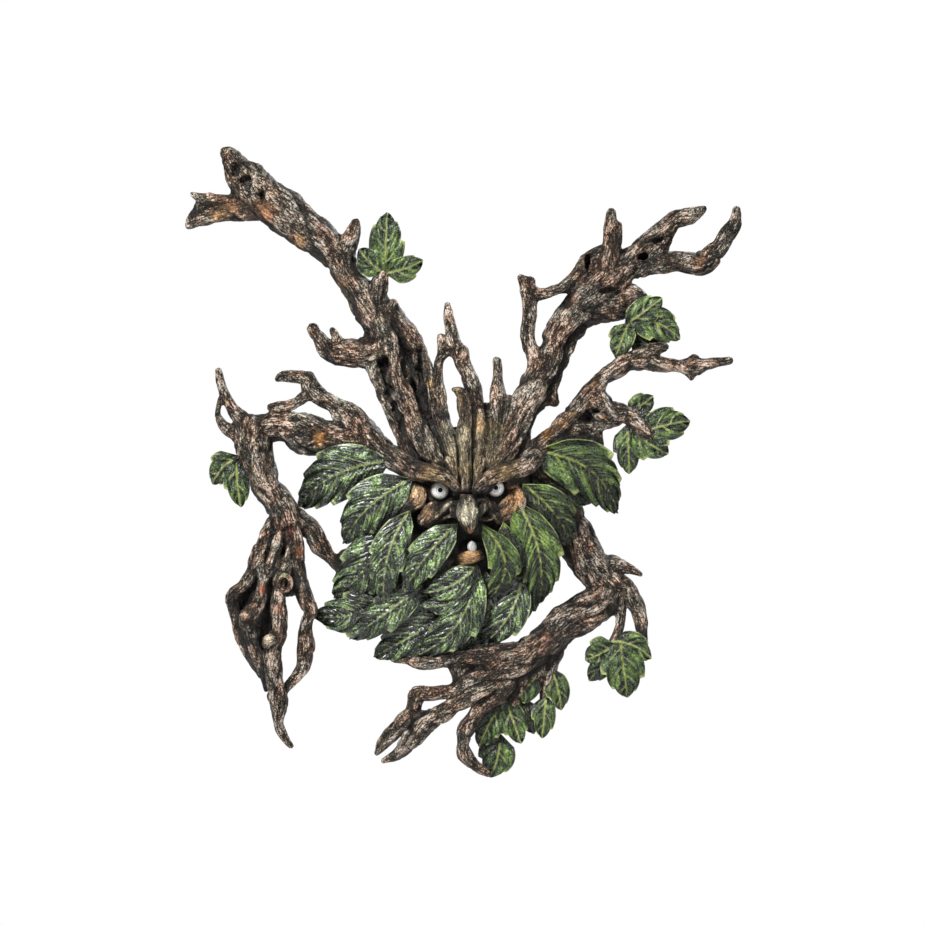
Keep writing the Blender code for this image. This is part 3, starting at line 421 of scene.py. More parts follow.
# Painted shade where something close by stands prouder of the wall: the squares it is worked out on, how
# far it reaches, and the start and depth of its darkening
PAINTED_SHADE_CELL = 1.2
PAINTED_SHADE_REACH = 4
BARK_PAINTED_SHADE = (3.0, 6.0)
LEAF_PAINTED_SHADE = (2.0, 2.0)

# Grid steps, in units
STEP, FACE_STEP, CORE_STEP, LEAF_STEP = ((1.5, 1.0, 2.3, 1.22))

# Points round an eye and round the tooth
EYE_POINTS, TOOTH_POINTS = 48, 24

# Paint: places on a scale from dark to light, and the colour or the grey there
BARK_HUES = [(0.40, (0.128, 0.120, 0.102)), (0.52, (0.165, 0.112, 0.076)), (0.63, (0.205, 0.092, 0.054))]
BARK_FLECKS = [(0.36, (0.10, 0.10, 0.045)), (0.45, (0.15, 0.115, 0.075)), (0.56, (0.16, 0.11, 0.08)),
               (0.64, (0.30, 0.14, 0.055))]
BARK_SHADES = [(0.30, 0.01), (0.44, 0.09), (0.58, 0.82), (0.70, 2.0), (0.85, 4.0)]
# Pale paint on the highest grain: part dry brush, part painted highlight
DRY_BRUSH_AND_HIGHLIGHT = [(0.60, 0.0), (0.84, 0.75)]
DRY_BRUSH_AND_HIGHLIGHT_COLOUR = (0.62, 0.59, 0.54)
BARK_PAINTED_SHADE_COLOUR = (0.010, 0.009, 0.008)
LEAF_GREENS = [(0.27, (0.002, 0.004, 0.002)), (0.40, (0.012, 0.026, 0.007)), (0.52, (0.050, 0.095, 0.020)),
               (0.66, (0.17, 0.29, 0.055)), (0.84, (0.46, 0.56, 0.22))]
VEIN_COLOURS = ((0.26, 0.33, 0.075), (0.36, 0.43, 0.14))
# Painted highlight along the leaf's margin
RIM_HIGHLIGHT_COLOUR = (0.34, 0.42, 0.16)
# Painted glints on the leaves
PAINTED_GLINT_COLOUR = (0.72, 0.78, 0.68)
OLIVE_CAST = (1.08, 1.0, 0.90)
LEAF_PAINTED_SHADE_COLOUR = (0.006, 0.009, 0.006)
# Eye rings: pupil, iris and white, then painted shade where the ball turns into its socket
EYE_RINGS_AND_EDGE_SHADE = [(0.0, 0.0), (0.23, 0.0), (0.27, 0.66), (0.36, 0.66), (0.40, 0.05), (0.44, (0.86, 0.86, 0.85)),
             (0.85, (0.66, 0.65, 0.62)), (1.0, (0.20, 0.19, 0.17))]
EYE_STAIN = [(0.3, (0.55, 0.52, 0.48)), (0.6, 1.0)]
RING_REACH = 10.0
TOOTH_COLOURS = ((0.18, 0.17, 0.16), (0.55, 0.54, 0.53))
BARK_BUMP, LEAF_BUMP, TOOTH_BUMP = 0.0022, 0.0045, 0.0006

# Studio: floor in metres, lights as place, size and watts. Camera: millimetres and picture points
FLOOR_Z = -0.92
FLOOR_RADIUS = 2.8
FLOOR_SIDES = 96
WORLD_LIGHT = 0.12
LIGHTS = {
    "key": ((-1.0, -1.5, 1.4), (0.6, 0.6), 88),
    "fill": ((1.4, -1.6, 0.5), (0.9, 0.9), 18),
    "low": ((0.2, -1.8, -0.4), (1.2, 0.6), 4),
    "behind": ((0.9, 1.5, 1.0), (1.0, 1.0), 30),
}
LENS, SENSOR = 120.0, 36.0
IMAGE = 925
MIDDLE_DEPTH = 55.0


# Noise

def lattice(cell, seed):
    """Repeatable share from 0 to 1 for each whole-number place, its numbers mixed by times and xor."""
    mixed = cell[..., 0] * 374761393 + cell[..., 1] * 668265263 + cell[..., 2] * 1440662683 + seed * 974711
    mixed = (mixed ^ (mixed >> 13)) * 1274126177
    return ((mixed ^ (mixed >> 16)) & 65535) / 65535.0


def noise(points, size, seed=0):
    """Smooth noise from -1 to 1 whose bumps are about that size: lattice values eased between corners."""
    place = points / size
    cell = np.floor(place).astype(np.int64)
    part = place - cell
    part = part * part * (3 - 2 * part)
    total = np.zeros(len(points))
    for corner in np.ndindex(2, 2, 2):
        share = np.prod(np.where(np.array(corner) == 1, part, 1 - part), axis=1)
        total += share * lattice(cell + np.array(corner), seed)
    return total * 2 - 1


def noise_over(grids, size, seed):
    """Noise over a grid whose three measures are given as grids or as single numbers."""
    points = np.stack(np.broadcast_arrays(*grids), axis=-1)
    return noise(points.reshape(-1, 3), size, seed).reshape(points.shape[:-1])


def crack(value, width):
    """1 where the noise crosses zero, falling off to 0 within the width: a winding line."""
    return np.exp(-(value / width) ** 2)


# Limbs

def place_on_sheet(rows):
    """Sheet x, y and proud in the first three columns turned into x, y, z in units from the mount."""
    rows = np.array(rows, float)
    return np.stack([rows[..., 0] - MOUNT_X, -rows[..., 2], MOUNT_Y - rows[..., 1]], axis=-1)


def half_box(half_sizes):
    """Half sizes across and down the sheet and out of the wall, put in the order x, y, z."""
    across, down, out = half_sizes
    return np.array([across, out, down], float)


def smooth_path(stations):
    """Points and radii along a smooth cubic curve through the stations, about a step apart."""
    rows = np.array(stations, float)
    ends = np.vstack([2 * rows[0] - rows[1], rows, 2 * rows[-1] - rows[-2]])
    sampled = []
    for before, start, end, after in zip(ends, ends[1:], ends[2:], ends[3:]):
        count = max(2, round(np.linalg.norm((end - start)[:3]) / PATH_STEP))
        t = (np.arange(count) / count)[:, None]
        sampled.append(0.5 * (2 * start + (end - before) * t
                              + (2 * before - 5 * start + 4 * end - after) * t**2
                              + (3 * start - before - 3 * end + after) * t**3))
    rows = np.vstack([*sampled, rows[-1:]])
    return place_on_sheet(rows), np.maximum(rows[:, 3], MIN_RADIUS)


def limb_distance(points, start, end, first, last):
    """Distance to a tapering capsule: off its axis at the nearest share along, less the radius there."""
    run = end - start
    share = np.clip(((points - start) @ run) / (run @ run), 0, 1)
    away = np.linalg.norm(points - start - share[..., None] * run, axis=-1)
    return away - (first + (last - first) * share)


def lump_distance(points, centre, half_sizes):
    """Distance to an ellipsoid, near its surface: |p/r| (|p/r| - 1) / |p/r^2|."""
    half = half_box(half_sizes)
    offset = points - place_on_sheet(centre)
    shares = np.linalg.norm(offset / half, axis=-1)
    slopes = np.linalg.norm(offset / half**2, axis=-1)
    return shares * (shares - 1) / np.maximum(slopes, 1e-9)


def blend_min(one, other, width):
    """The smaller of two distances, rounded where they are within the width of each other."""
    share = np.clip(0.5 + 0.5 * (one - other) / width, 0, 1)
    return one * (1 - share) + other * share - width * share * (1 - share)


class Field:
    """A block of evenly spaced distances that limbs and lumps are fused into, and hollows carved from."""

    def __init__(self, low, high, step):
        self.low = np.floor(np.array(low) / step) * step
        self.step = step
        shape = np.ceil((np.array(high) - self.low) / step).astype(int) + 1
        self.distance = np.full(shape, FAR, np.float32)
        self.owner = np.full(shape, -1, np.int16)
        self.partner = np.full(shape, -1, np.int16)
        self.nearest = np.full(shape, FAR, np.float32)
        self.second = np.full(shape, FAR, np.float32)

    def window(self, low, high):
        """The slices that cover a box, and the points in them."""
        first = np.maximum(np.floor((low - self.low) / self.step).astype(int), 0)
        last = np.ceil((high - self.low) / self.step).astype(int) + 1
        last = np.minimum(last, self.distance.shape)
        axes = [self.low[i] + self.step * np.arange(first[i], last[i]) for i in range(3)]
        box = tuple(slice(a, b) for a, b in zip(first, last))
        return box, np.stack(np.meshgrid(*axes, indexing="ij"), axis=-1)

    def lump_window(self, centre, half_sizes):
        """The slices round an ellipsoid, and the distances to it there."""
        middle, half = place_on_sheet(centre), half_box(half_sizes) + MARGIN
        box, points = self.window(middle - half, middle + half)
        return box, lump_distance(points, centre, half_sizes)

    def add_limb(self, path, radii, width, number):
        """Fuses in a limb: the smallest of the distances to the tapering capsules along its path."""
        reach = radii.max() + MARGIN
        box, _ = self.window(path.min(axis=0) - reach, path.max(axis=0) + reach)
        own = np.full(self.distance[box].shape, FAR, np.float32)
        corner = np.array([part.start for part in box])
        for start, end, first, last in zip(path, path[1:], radii, radii[1:]):
            reach = max(first, last) + MARGIN
            part, points = self.window(np.minimum(start, end) - reach, np.maximum(start, end) + reach)
            local = tuple(slice(s.start - c, s.stop - c) for s, c in zip(part, corner))
            own[local] = np.minimum(own[local], limb_distance(points, start, end, first, last))
        self.fuse(box, own, width, number)

    def fuse(self, box, own, width, number):
        """Blends one shape's distances in, and keeps which shapes are nearest and second nearest."""
        nearest, second = self.nearest[box], self.second[box]
        first, runner_up = own < nearest, (own >= nearest) & (own < second)
        partner = np.where(runner_up, number, self.partner[box])
        self.partner[box] = np.where(first, self.owner[box], partner)
        self.owner[box] = np.where(first, number, self.owner[box])
        self.second[box] = np.where(first, nearest, np.where(runner_up, own, second))
        self.nearest[box] = np.where(first, own, nearest)
        self.distance[box] = blend_min(self.distance[box], own, width)

    def carve(self, centre, half_sizes, width):
        """Takes an ellipsoid out: the larger of the distance and the distance inside it, rounded."""
        box, hollow = self.lump_window(centre, half_sizes)
        self.distance[box] = -blend_min(-self.distance[box], hollow, width)

    def cut_behind(self, back):
        """Nothing lies behind that far off the wall: the larger of the distance and y + back."""
        depth = self.low[1] + self.step * np.arange(self.distance.shape[1]) + back
        self.distance = np.maximum(self.distance, depth[None, :, None]).astype(np.float32)

    def surface(self):
        """Surface net of the zero level: one vertex in each cell that it crosses, at the mean of the
        crossings on the cell's edges, and one quad round each grid edge that it crosses. Returns vertices,
        quads, the nearest limb, the second nearest, and how much farther off that one is, which is nothing
        along their seam."""
        inside = self.distance < 0
        cells = [n - 1 for n in inside.shape]
        count = np.zeros(cells, np.int8)
        for corner in np.ndindex(2, 2, 2):
            count += inside[tuple(slice(c, c + n) for c, n in zip(corner, cells))]
        places = np.argwhere((count > 0) & (count < 8))
        index = np.full(cells, -1, np.int64)
        index[tuple(places.T)] = np.arange(len(places))
        vertices = (places + self.crossings(places)) * self.step + self.low
        quads = np.concatenate([self.quads_across(axis, inside, index) for axis in range(3)])
        nearest = np.round((vertices - self.low) / self.step).astype(int)
        nearest = tuple(np.clip(nearest, 0, np.array(inside.shape) - 1).T)
        gap = (self.second - self.nearest)[nearest]
        return vertices, quads, self.owner[nearest], self.partner[nearest], gap

    def crossings(self, places):
        """Mean place, within each cell, of where the zero level crosses the cell's twelve edges."""
        total, hits = np.zeros((len(places), 3)), np.zeros(len(places))
        for corner in np.ndindex(2, 2, 2):
            for axis in range(3):
                if corner[axis]:
                    continue
                ahead = np.array(corner)
                ahead[axis] = 1
                one = self.distance[tuple((places + corner).T)]
                two = self.distance[tuple((places + ahead).T)]
                hit = (one < 0) != (two < 0)
                share = np.where(hit, one / np.where(hit, one - two, 1), 0)
                crossing = np.array(corner) + share[:, None] * (ahead - corner)
                total += np.where(hit[:, None], crossing, 0)
                hits += hit
        return total / hits[:, None]

    def quads_across(self, axis, inside, index):
        """Quads round the grid edges along one axis whose ends are on either side of the surface."""
        one, two = (axis + 1) % 3, (axis + 2) % 3
        change = inside != np.roll(inside, -1, axis)
        for other in range(3):
            planes = np.moveaxis(change, other, 0)
            planes[-1] = False
            if other != axis:
                planes[0] = False
        edges = np.argwhere(change)
        back_one, back_two = np.eye(3, dtype=int)[one], np.eye(3, dtype=int)[two]
        ring = [edges, edges - back_one, edges - back_one - back_two, edges - back_two]
        quad = np.stack([index[tuple(cell.T)] for cell in ring], axis=1)
        leaving = inside[tuple(edges.T)]
        return np.where(leaving[:, None], quad, quad[:, ::-1])


def grain_of(vertices, owners, paths):
    """Each vertex in its limb's own measure: how far along the limb it is, and how far off the axis across
    and outwards, so that the bark runs with the limb. A lump's grain runs up and down. The girth is the
    limb's radius there."""
    grain = vertices[:, [2, 0, 1]].copy()
    girth = np.full(len(vertices), LUMP_GIRTH)
    for number, (path, radii) in enumerate(paths):
        mine = np.flatnonzero(owners == number)
        if not len(mine):
            continue
        points = vertices[mine]
        runs = path[1:] - path[:-1]
        lengths = np.linalg.norm(runs, axis=1)
        arcs = np.concatenate([[0], np.cumsum(lengths)])
        best = np.full(len(points), np.inf)
        for i, (start, run, length) in enumerate(zip(path, runs, lengths)):
            share = np.clip(((points - start) @ run) / length**2, 0, 1)
            offset = points - start - share[:, None] * run
            away = np.einsum("ij,ij->i", offset, offset)
            near = away < best
            best[near] = away[near]
            across = np.cross(run / length, (0.0, 1.0, 0.0))
            across /= max(np.linalg.norm(across), 1e-6)
            outwards = np.cross(across, run / length)
            along = arcs[i] + share * length + GRAIN_APART * number
            local = np.stack([along, offset @ across, offset @ outwards], axis=1)
            grain[mine[near]] = local[near]
            girth[mine[near]] = (radii[i] + (radii[i + 1] - radii[i]) * share)[near]
    return grain, girth


def vertex_normals(vertices, quads):
    """Area-weighted normals: the cross product of each quad's diagonals, added up at its corners."""
    one, two, three, four = (vertices[quads[:, corner]] for corner in range(4))
    across = np.cross(three - one, four - two)
    total = np.stack([sum(np.bincount(quads[:, c], across[:, i], len(vertices)) for c in range(4))
                      for i in range(3)], axis=1)
    return total / np.maximum(np.linalg.norm(total, axis=1), 1e-9)[:, None]


def spread(values, quads, rounds):
    """Values averaged with their neighbours along the quads' edges, as many times as said."""
    ends = np.concatenate([quads[:, [i, (i + 1) % 4]] for i in range(4)])
    count = np.bincount(ends[:, 0], minlength=len(values)) + 1
    for _ in range(rounds):
        values = (values + np.bincount(ends[:, 0], values[ends[:, 1]], len(values))) / count
    return values


def bark_relief(vertices, grain, girth, roughness):
    """Height of the bark in units, and its grooves from -1 to 1. Long cracks follow the grain where
    stretched noise crosses zero, finer ones lie between them, and rounder noise adds lumps and pits."""
    twist = 0.02 * grain[:, 0] + 0.8 * noise(vertices, 40, 3)
    turn = np.stack([grain[:, 1] * np.cos(twist) - grain[:, 2] * np.sin(twist),
                     grain[:, 1] * np.sin(twist) + grain[:, 2] * np.cos(twist)], axis=1)
    bend = np.stack([noise(vertices, BEND_SIZE, seed) for seed in (5, 6, 7)], axis=1)
    run = np.column_stack([grain[:, 0] / GRAIN_STRETCH, turn]) + GRAIN_BEND * bend
    broad = noise(run, BROAD_CRACKS, 11)
    middle = noise(run, MIDDLE_CRACKS, 12)
    fine = noise(run * (1.6, 1, 1), FINE_CRACKS, 13)
    lumps = noise(vertices, LUMP_SIZE, 14) + 0.5 * noise(vertices, SMALL_LUMP_SIZE, 16)
    pits = np.clip(noise(vertices, PIT_SIZE, 15) - 0.45, 0, 1)
    grooves = 0.55 * abs(broad) - 0.9 * crack(broad, CRACK_WIDTH)
    grooves = grooves + 0.3 * middle - 0.45 * crack(middle, CRACK_WIDTH) + 0.25 * fine
    thin = np.clip(girth / FULL_GIRTH, 0.25, 1.0)
    height = thin * roughness * (BARK_DEPTH * grooves + LUMP_HEIGHT * lumps - PIT_DEPTH * pits)
    return height, np.clip(grooves + 0.4 * lumps - 1.2 * pits, -1, 1)


def tint_of(vertices, spots):
    """Colour, and painted shade where a spot is near black, put on in soft round spots of sheet x, y,
    radius, strength and colour, later over earlier.
    A spot's share falls off as exp(-1.4 (distance / radius)^2)."""
    tint = np.zeros((len(vertices), 4))
    sheet = np.stack([vertices[:, 0] + MOUNT_X, MOUNT_Y - vertices[:, 2]], axis=1)
    for x, y, radius, strength, colour in spots:
        away = np.linalg.norm(sheet - (x, y), axis=1) / radius
        share = strength * np.exp(-away**2 * TINT_FALL)
        tint[:, :3] = tint[:, :3] * (1 - share[:, None]) + np.array(colour) * share[:, None]
        tint[:, 3] = tint[:, 3] * (1 - share) + share
    return tint


def reach_of(paths, lumps):
    """Lowest and highest corner of the limbs and lumps, with a margin, and hardly past the wall."""
    boxes = [(path - radii.max(), path + radii.max()) for path, radii in paths]
    boxes += [(place_on_sheet([centre]) - half_box(half), place_on_sheet([centre]) + half_box(half))
              for centre, half in lumps]
    low = np.min(np.vstack([box[0] for box in boxes]), axis=0) - BOX_MARGIN
    high = np.max(np.vstack([box[1] for box in boxes]), axis=0) + BOX_MARGIN
    high[1] = min(high[1], BEHIND_WALL)
    return low, high


def bark_shape(group, step, width, lumps=(), carved=(), roughness=1.0, tints_and_shade=TINTS_AND_SHADE, back=0.0):
    """Limbs and lumps fused in a distance field, meshed, and given bark along their own grain. Strands are
    hardly blended, and a groove runs along the seam between two of them, darkened with painted shade."""
    paths = [smooth_path(stations) for stations in group.values()]
    field = Field(*reach_of(paths, lumps), step)
    for number, lump in enumerate(lumps):
        field.fuse(*field.lump_window(*lump), LUMP_BLEND, -1 - number)
    for number, (key, (path, radii)) in enumerate(zip(group, paths)):
        field.add_limb(path, radii, STRAND_BLEND if "strand" in key else width, number)
    for hollow in carved:
        field.carve(*hollow)
    field.cut_behind(back)
    vertices, quads, owners, partners, gap = field.surface()
    strands = np.array(["strand" in key for key in group] + [False] * (1 + len(lumps)))
    seam = np.exp(-(spread(gap, quads, 2) / SEAM_WIDTH) ** 2)
    seam *= np.where(strands[owners] & strands[partners], 1.0, PLAIN_SEAM)
    normals = vertex_normals(vertices, quads)
    grain, girth = grain_of(vertices, owners, paths)
    height, grooves = bark_relief(vertices, grain, girth, roughness)
    height = spread(height - SEAM_DEPTH * seam * np.clip(girth / SEAM_GIRTH, 0.2, 1.0), quads, 1)
    off_wall = np.clip((-vertices[:, 1] - back) / RELIEF_FADE, 0, 1)
    vertices = vertices + normals * (height * off_wall)[:, None]
    front = np.clip(-3 * vertex_normals(vertices, quads)[:, 1], 0, 1)
    tint = tint_of(vertices, tints_and_shade)
    tint[:, 3] *= off_wall
    # Painted shade: the grooves are darkened along the seams between strands
    grooves = np.clip(spread(grooves - SEAM_PAINTED_SHADE * seam, quads, 1), -1, 1)
    values = {"grain": grain * UNIT, "tint": tint, "grooves": grooves}
    return vertices, quads, values, front


# Leaves

def leaf_width(along, phase, depth):
    """Half width as a share of the greatest: a pointed oval along the leaf, cut in behind each lobe, and
    each lobe swells out towards its own vein's end."""
    fall = WIDEST_AT / (1 - WIDEST_AT)
    towards_tip = np.clip((1 - along) / (1 - WIDEST_AT), 0, None) ** 0.75
    oval = np.clip(along / WIDEST_AT, 0, None) ** (0.75 * fall) * towards_tip
    return oval * (1 - depth * (1 - phase ** 0.7) * np.clip(along / 0.15, 0, 1))


def leaf_axes(base, tip):
    """Start, run and length of a leaf, and the directions beside it and out of its face."""
    start, end = place_on_sheet(base), place_on_sheet(tip)
    run = end - start
    length = np.linalg.norm(run)
    side = np.cross(run / length, (0.0, -1.0, 0.0))
    side /= np.linalg.norm(side)
    return start, run, length, side, np.cross(side, run / length)


def closed_sheet_quads(rows, columns):
    """Quads of a front grid, of the same grid behind it turned round, and of the rim that joins the two."""
    over = columns + 1
    count = (rows + 1) * over
    cell = (np.arange(rows)[:, None] * over + np.arange(columns)[None, :]).reshape(-1)
    quads = np.stack([cell, cell + over, cell + over + 1, cell + 1], axis=1)
    lines, ribs, last = np.arange(rows), np.arange(columns), rows * over
    rim = np.concatenate([
        np.stack([lines * over, (lines + 1) * over], axis=1),
        np.stack([(lines[::-1] + 1) * over + columns, lines[::-1] * over + columns], axis=1),
        np.stack([ribs[::-1] + 1, ribs[::-1]], axis=1),
        np.stack([last + ribs, last + ribs + 1], axis=1)])
    walls = np.stack([rim[:, 1], rim[:, 0], rim[:, 0] + count, rim[:, 1] + count], axis=1)
    return np.concatenate([quads, quads[:, ::-1] + count, walls])


def leaf_grid(base, tip, width, bow, shape, seed):
    """One leaf as a closed sheet over a grid of t along it and s across it. Rows swing towards the tip,
    reach = t + lean |s|^1.3 t^0.4 (1 - t), so lines of equal t are side veins that leave the midrib at a
    slant. Point = midrib(reach) + side * half width * s, raised by camber, by quilting between the veins
    and by ridges on the midrib and the side veins. Returns vertices, quads, the masks of vein, puff, rim
    and painted crease shade, and the measure along the veins."""
    start, run, length, side, out = leaf_axes(base, tip)
    rows = max(FEWEST_ROWS, round(length / LEAF_STEP))
    columns = 2 * max(FEWEST_COLUMNS, round(width / LEAF_STEP / 2))
    gap, veins_per_lobe, depth = shape
    veins = max(FEWEST_VEINS, round(length / gap))
    t, s = np.meshgrid(np.linspace(0, 1, rows + 1), np.linspace(-1, 1, columns + 1), indexing="ij")
    away = abs(s)
    lean = min(LEAF_SWEEP * width / length, LARGEST_LEAN)
    reach = t + lean * away**1.3 * t**0.4 * (1 - t)

    # Veins: the phase runs from 0 to 1 between two side veins, and those of the two halves alternate
    wobble = VEIN_WOBBLE * noise_over([t * veins, 0 * t, np.sign(s) + seed], 1.0, 41)
    turn = t * veins + wobble * np.sin(np.pi * t) + 0.5 * (s > 0)
    phase = turn % 1.0
    lobe = turn / veins_per_lobe % 1.0
    half = np.maximum(leaf_width(reach, lobe, depth), 0.02) * width * LEAF_FULLNESS / 2
    off_vein = np.minimum(phase, 1 - phase) * length / veins * 0.7
    off_margin, off_base = np.clip((1.05 - away) * 3, 0, 1), np.clip(t * 12, 0, 1)
    near_vein = np.exp(-(off_vein / 1.05) ** 2) * off_margin * off_base
    thin_vein = np.exp(-(off_vein / 0.8) ** 2) * np.clip((1.0 - away) * 1.6, 0, 1) * off_base
    valley = np.exp(-((off_vein - 2.4) / 1.5) ** 2) * off_margin
    midrib = np.exp(-(s * half / (0.9 + 0.9 * (1 - t))) ** 2)
    gully = np.exp(-((away * half - 3.2) / 1.8) ** 2)
    puff = np.sin(np.pi * phase) ** 0.8 * np.sin(np.pi * np.clip(away * 1.1, 0, 1)) ** 0.5
    fine = noise_over([0.6 * t * length, s * half, seed * 9.0], 3.2, seed)
    wave = noise_over([t * 3.3, s * 1.6, float(seed)], 1.0, seed)

    # Front and back faces
    relief = LEAF_QUILT * (puff - 0.5 * valley - 0.6 * gully)
    relief = relief + LEAF_VEIN * near_vein + LEAF_MIDRIB * midrib + LEAF_CRINKLE * fine
    swing = 4 * reach * (1 - reach) * length
    curl = LEAF_CURL * width * np.cos(2 * np.pi * lobe) * away**2
    lift = LEAF_ARCH * swing - LEAF_CROWN * width * away**2 + LEAF_WAVE * width * wave * away + curl
    thickness = LEAF_THICKNESS * (0.35 + 0.65 * np.clip((1 - away) * 2.5, 0, 1))
    middle = start + run * reach[..., None] + side * (bow * swing)[..., None]
    sheet = middle + side * (half * s)[..., None]
    front = sheet + out * (lift + relief * np.clip((1 - away) * 6, 0, 1))[..., None]
    back = sheet + out * (lift - thickness)[..., None]

    # Masks for the paint: the crease shade, darkest in the valleys and gullies, is painted shade, and it
    # also dims the puff
    dark = np.clip(0.55 * valley + 0.7 * gully - 0.6 * midrib - 0.5 * near_vein, 0, 1)
    vein = np.maximum(0.8 * thin_vein, midrib)
    full = np.clip(puff + 0.35 * fine - 0.5 * dark, 0, 1)
    masks = np.stack([vein, full, away, dark], axis=-1).reshape(-1, 4)
    comb = np.stack([0.6 * t * length, 0.9 * away * half, seed * 9.0 + np.sign(s) * 4.0], axis=-1)
    comb = comb.reshape(-1, 3)
    return (np.concatenate([front.reshape(-1, 3), back.reshape(-1, 3)]), closed_sheet_quads(rows, columns),
            np.concatenate([masks, masks * (0.3, 0.5, 1, 1)]), np.concatenate([comb, comb]))


def leaf_shape(name, leaves, shape):
    """A cluster of leaves as one mesh, each with its own shade, and nothing of it behind the wall."""
    vertices, quads, masks, combs, shades, fronts, count = [], [], [], [], [], [], 0
    for number, leaf in enumerate(leaves.values()):
        points, faces, mask, comb = leaf_grid(*leaf, shape, number + 3 * len(name))
        vertices.append(points)
        quads.append(faces + count)
        masks.append(mask)
        combs.append(comb * UNIT)
        fronts.append(np.arange(len(points)) < len(points) // 2)
        shades.append(np.full(len(points), (number * 0.618) % 1.0))
        count += len(points)
    vertices, masks = np.concatenate(vertices), np.concatenate(masks)
    vertices[:, 1] = np.minimum(vertices[:, 1], 0)
    values = dict(zip(("vein", "puff", "rim", "crease_shade"), masks.T))
    values |= {"shade": np.concatenate(shades), "comb": np.concatenate(combs)}
    return vertices, np.concatenate(quads), values, np.concatenate(fronts)


# Painted shade

def cover_map(shapes):
    """How proud the proudest point over each small square of the sheet is, spread to those near it."""
    places = np.concatenate([vertices for vertices, *_ in shapes])
    cells = np.floor(places[:, [0, 2]] / PAINTED_SHADE_CELL).astype(int)
    low = cells.min(axis=0) - PAINTED_SHADE_REACH
    grid = np.zeros(cells.max(axis=0) - low + PAINTED_SHADE_REACH + 1)
    np.maximum.at(grid, tuple((cells - low).T), -places[:, 1])
    wide, tall = grid.shape
    for _ in range(PAINTED_SHADE_REACH):
        padded = np.pad(grid, 1)
        grid = np.max([padded[i:i + wide, j:j + tall] for i in range(3) for j in range(3)], axis=0)
    return grid, low


def painted_shade_of(vertices, front, cover, start, depth):
    """Painted shade from 0 to 1, dark where something close by stands prouder of the wall, as under
    overlapping leaves.
    """
    grid, low = cover
    cells = np.floor(vertices[:, [0, 2]] / PAINTED_SHADE_CELL).astype(int) - low
    return np.clip((grid[tuple(cells.T)] + vertices[:, 1] - start) / depth, 0, 1) * front


# Meshes

def add_object(name, mesh, material):
    """An object at the origin with a smooth mesh of one material."""
    mesh.shade_smooth()
    mesh.materials.append(material)
    obj = bpy.data.objects.new(name, mesh)
    bpy.context.scene.collection.objects.link(obj)
    return obj


def write_mesh(name, vertices, quads, values, material):
    """A mesh object of quads whose named values are point attributes, of as many numbers as each has."""
    mesh = bpy.data.meshes.new(name)
    mesh.vertices.add(len(vertices))
    mesh.vertices.foreach_set("co", (vertices * UNIT).astype(np.float32).ravel())
    mesh.loops.add(quads.size)
    mesh.loops.foreach_set("vertex_index", quads.astype(np.int32).ravel())
    mesh.polygons.add(len(quads))
    mesh.polygons.foreach_set("loop_start", np.arange(0, quads.size, 4, dtype=np.int32))
    mesh.update(calc_edges=True)
    kinds = {(): ("FLOAT", "value"), (3,): ("FLOAT_VECTOR", "vector"), (4,): ("FLOAT_COLOR", "color")}
    for key, array in values.items():
        kind, field = kinds[array.shape[1:]]
        layer = mesh.attributes.new(key, kind, "POINT")
        layer.data.foreach_set(field, np.asarray(array, np.float32).ravel())
    return add_object(name, mesh, material)


def ball(name, centre, half_sizes, material, rings):
    """An ellipsoid, (sin u cos v, -cos u, sin u sin v) times its half sizes, with a vertex at each pole."""
    up, around = np.meshgrid(np.linspace(0, np.pi, rings + 1)[1:-1],
                             np.linspace(0, 2 * np.pi, rings, False), indexing="ij")
    unit = np.stack([np.sin(up) * np.cos(around), -np.cos(up), np.sin(up) * np.sin(around)], axis=-1)
    unit = np.vstack([unit.reshape(-1, 3), [[0, -1, 0]], [[0, 1, 0]]])
    vertices = unit * half_box(half_sizes) + place_on_sheet(centre)
    row, column = np.meshgrid(np.arange(rings - 2), np.arange(rings), indexing="ij")
    one, two = (row * rings + column).ravel(), (row * rings + (column + 1) % rings).ravel()
    quads = np.stack([one, one + rings, two + rings, two], axis=1)
    first, last, end = rings * (rings - 1), rings * (rings - 1) + 1, rings * (rings - 2)
    pairs = [(column, (column + 1) % rings) for column in range(rings)]
    faces = quads.tolist() + [(first, a, b) for a, b in pairs]
    faces += [(last, end + b, end + a) for a, b in pairs]
    mesh = bpy.data.meshes.new(name)
    mesh.from_pydata((vertices * UNIT).tolist(), [], faces)
    return add_object(name, mesh, material)


# Materials

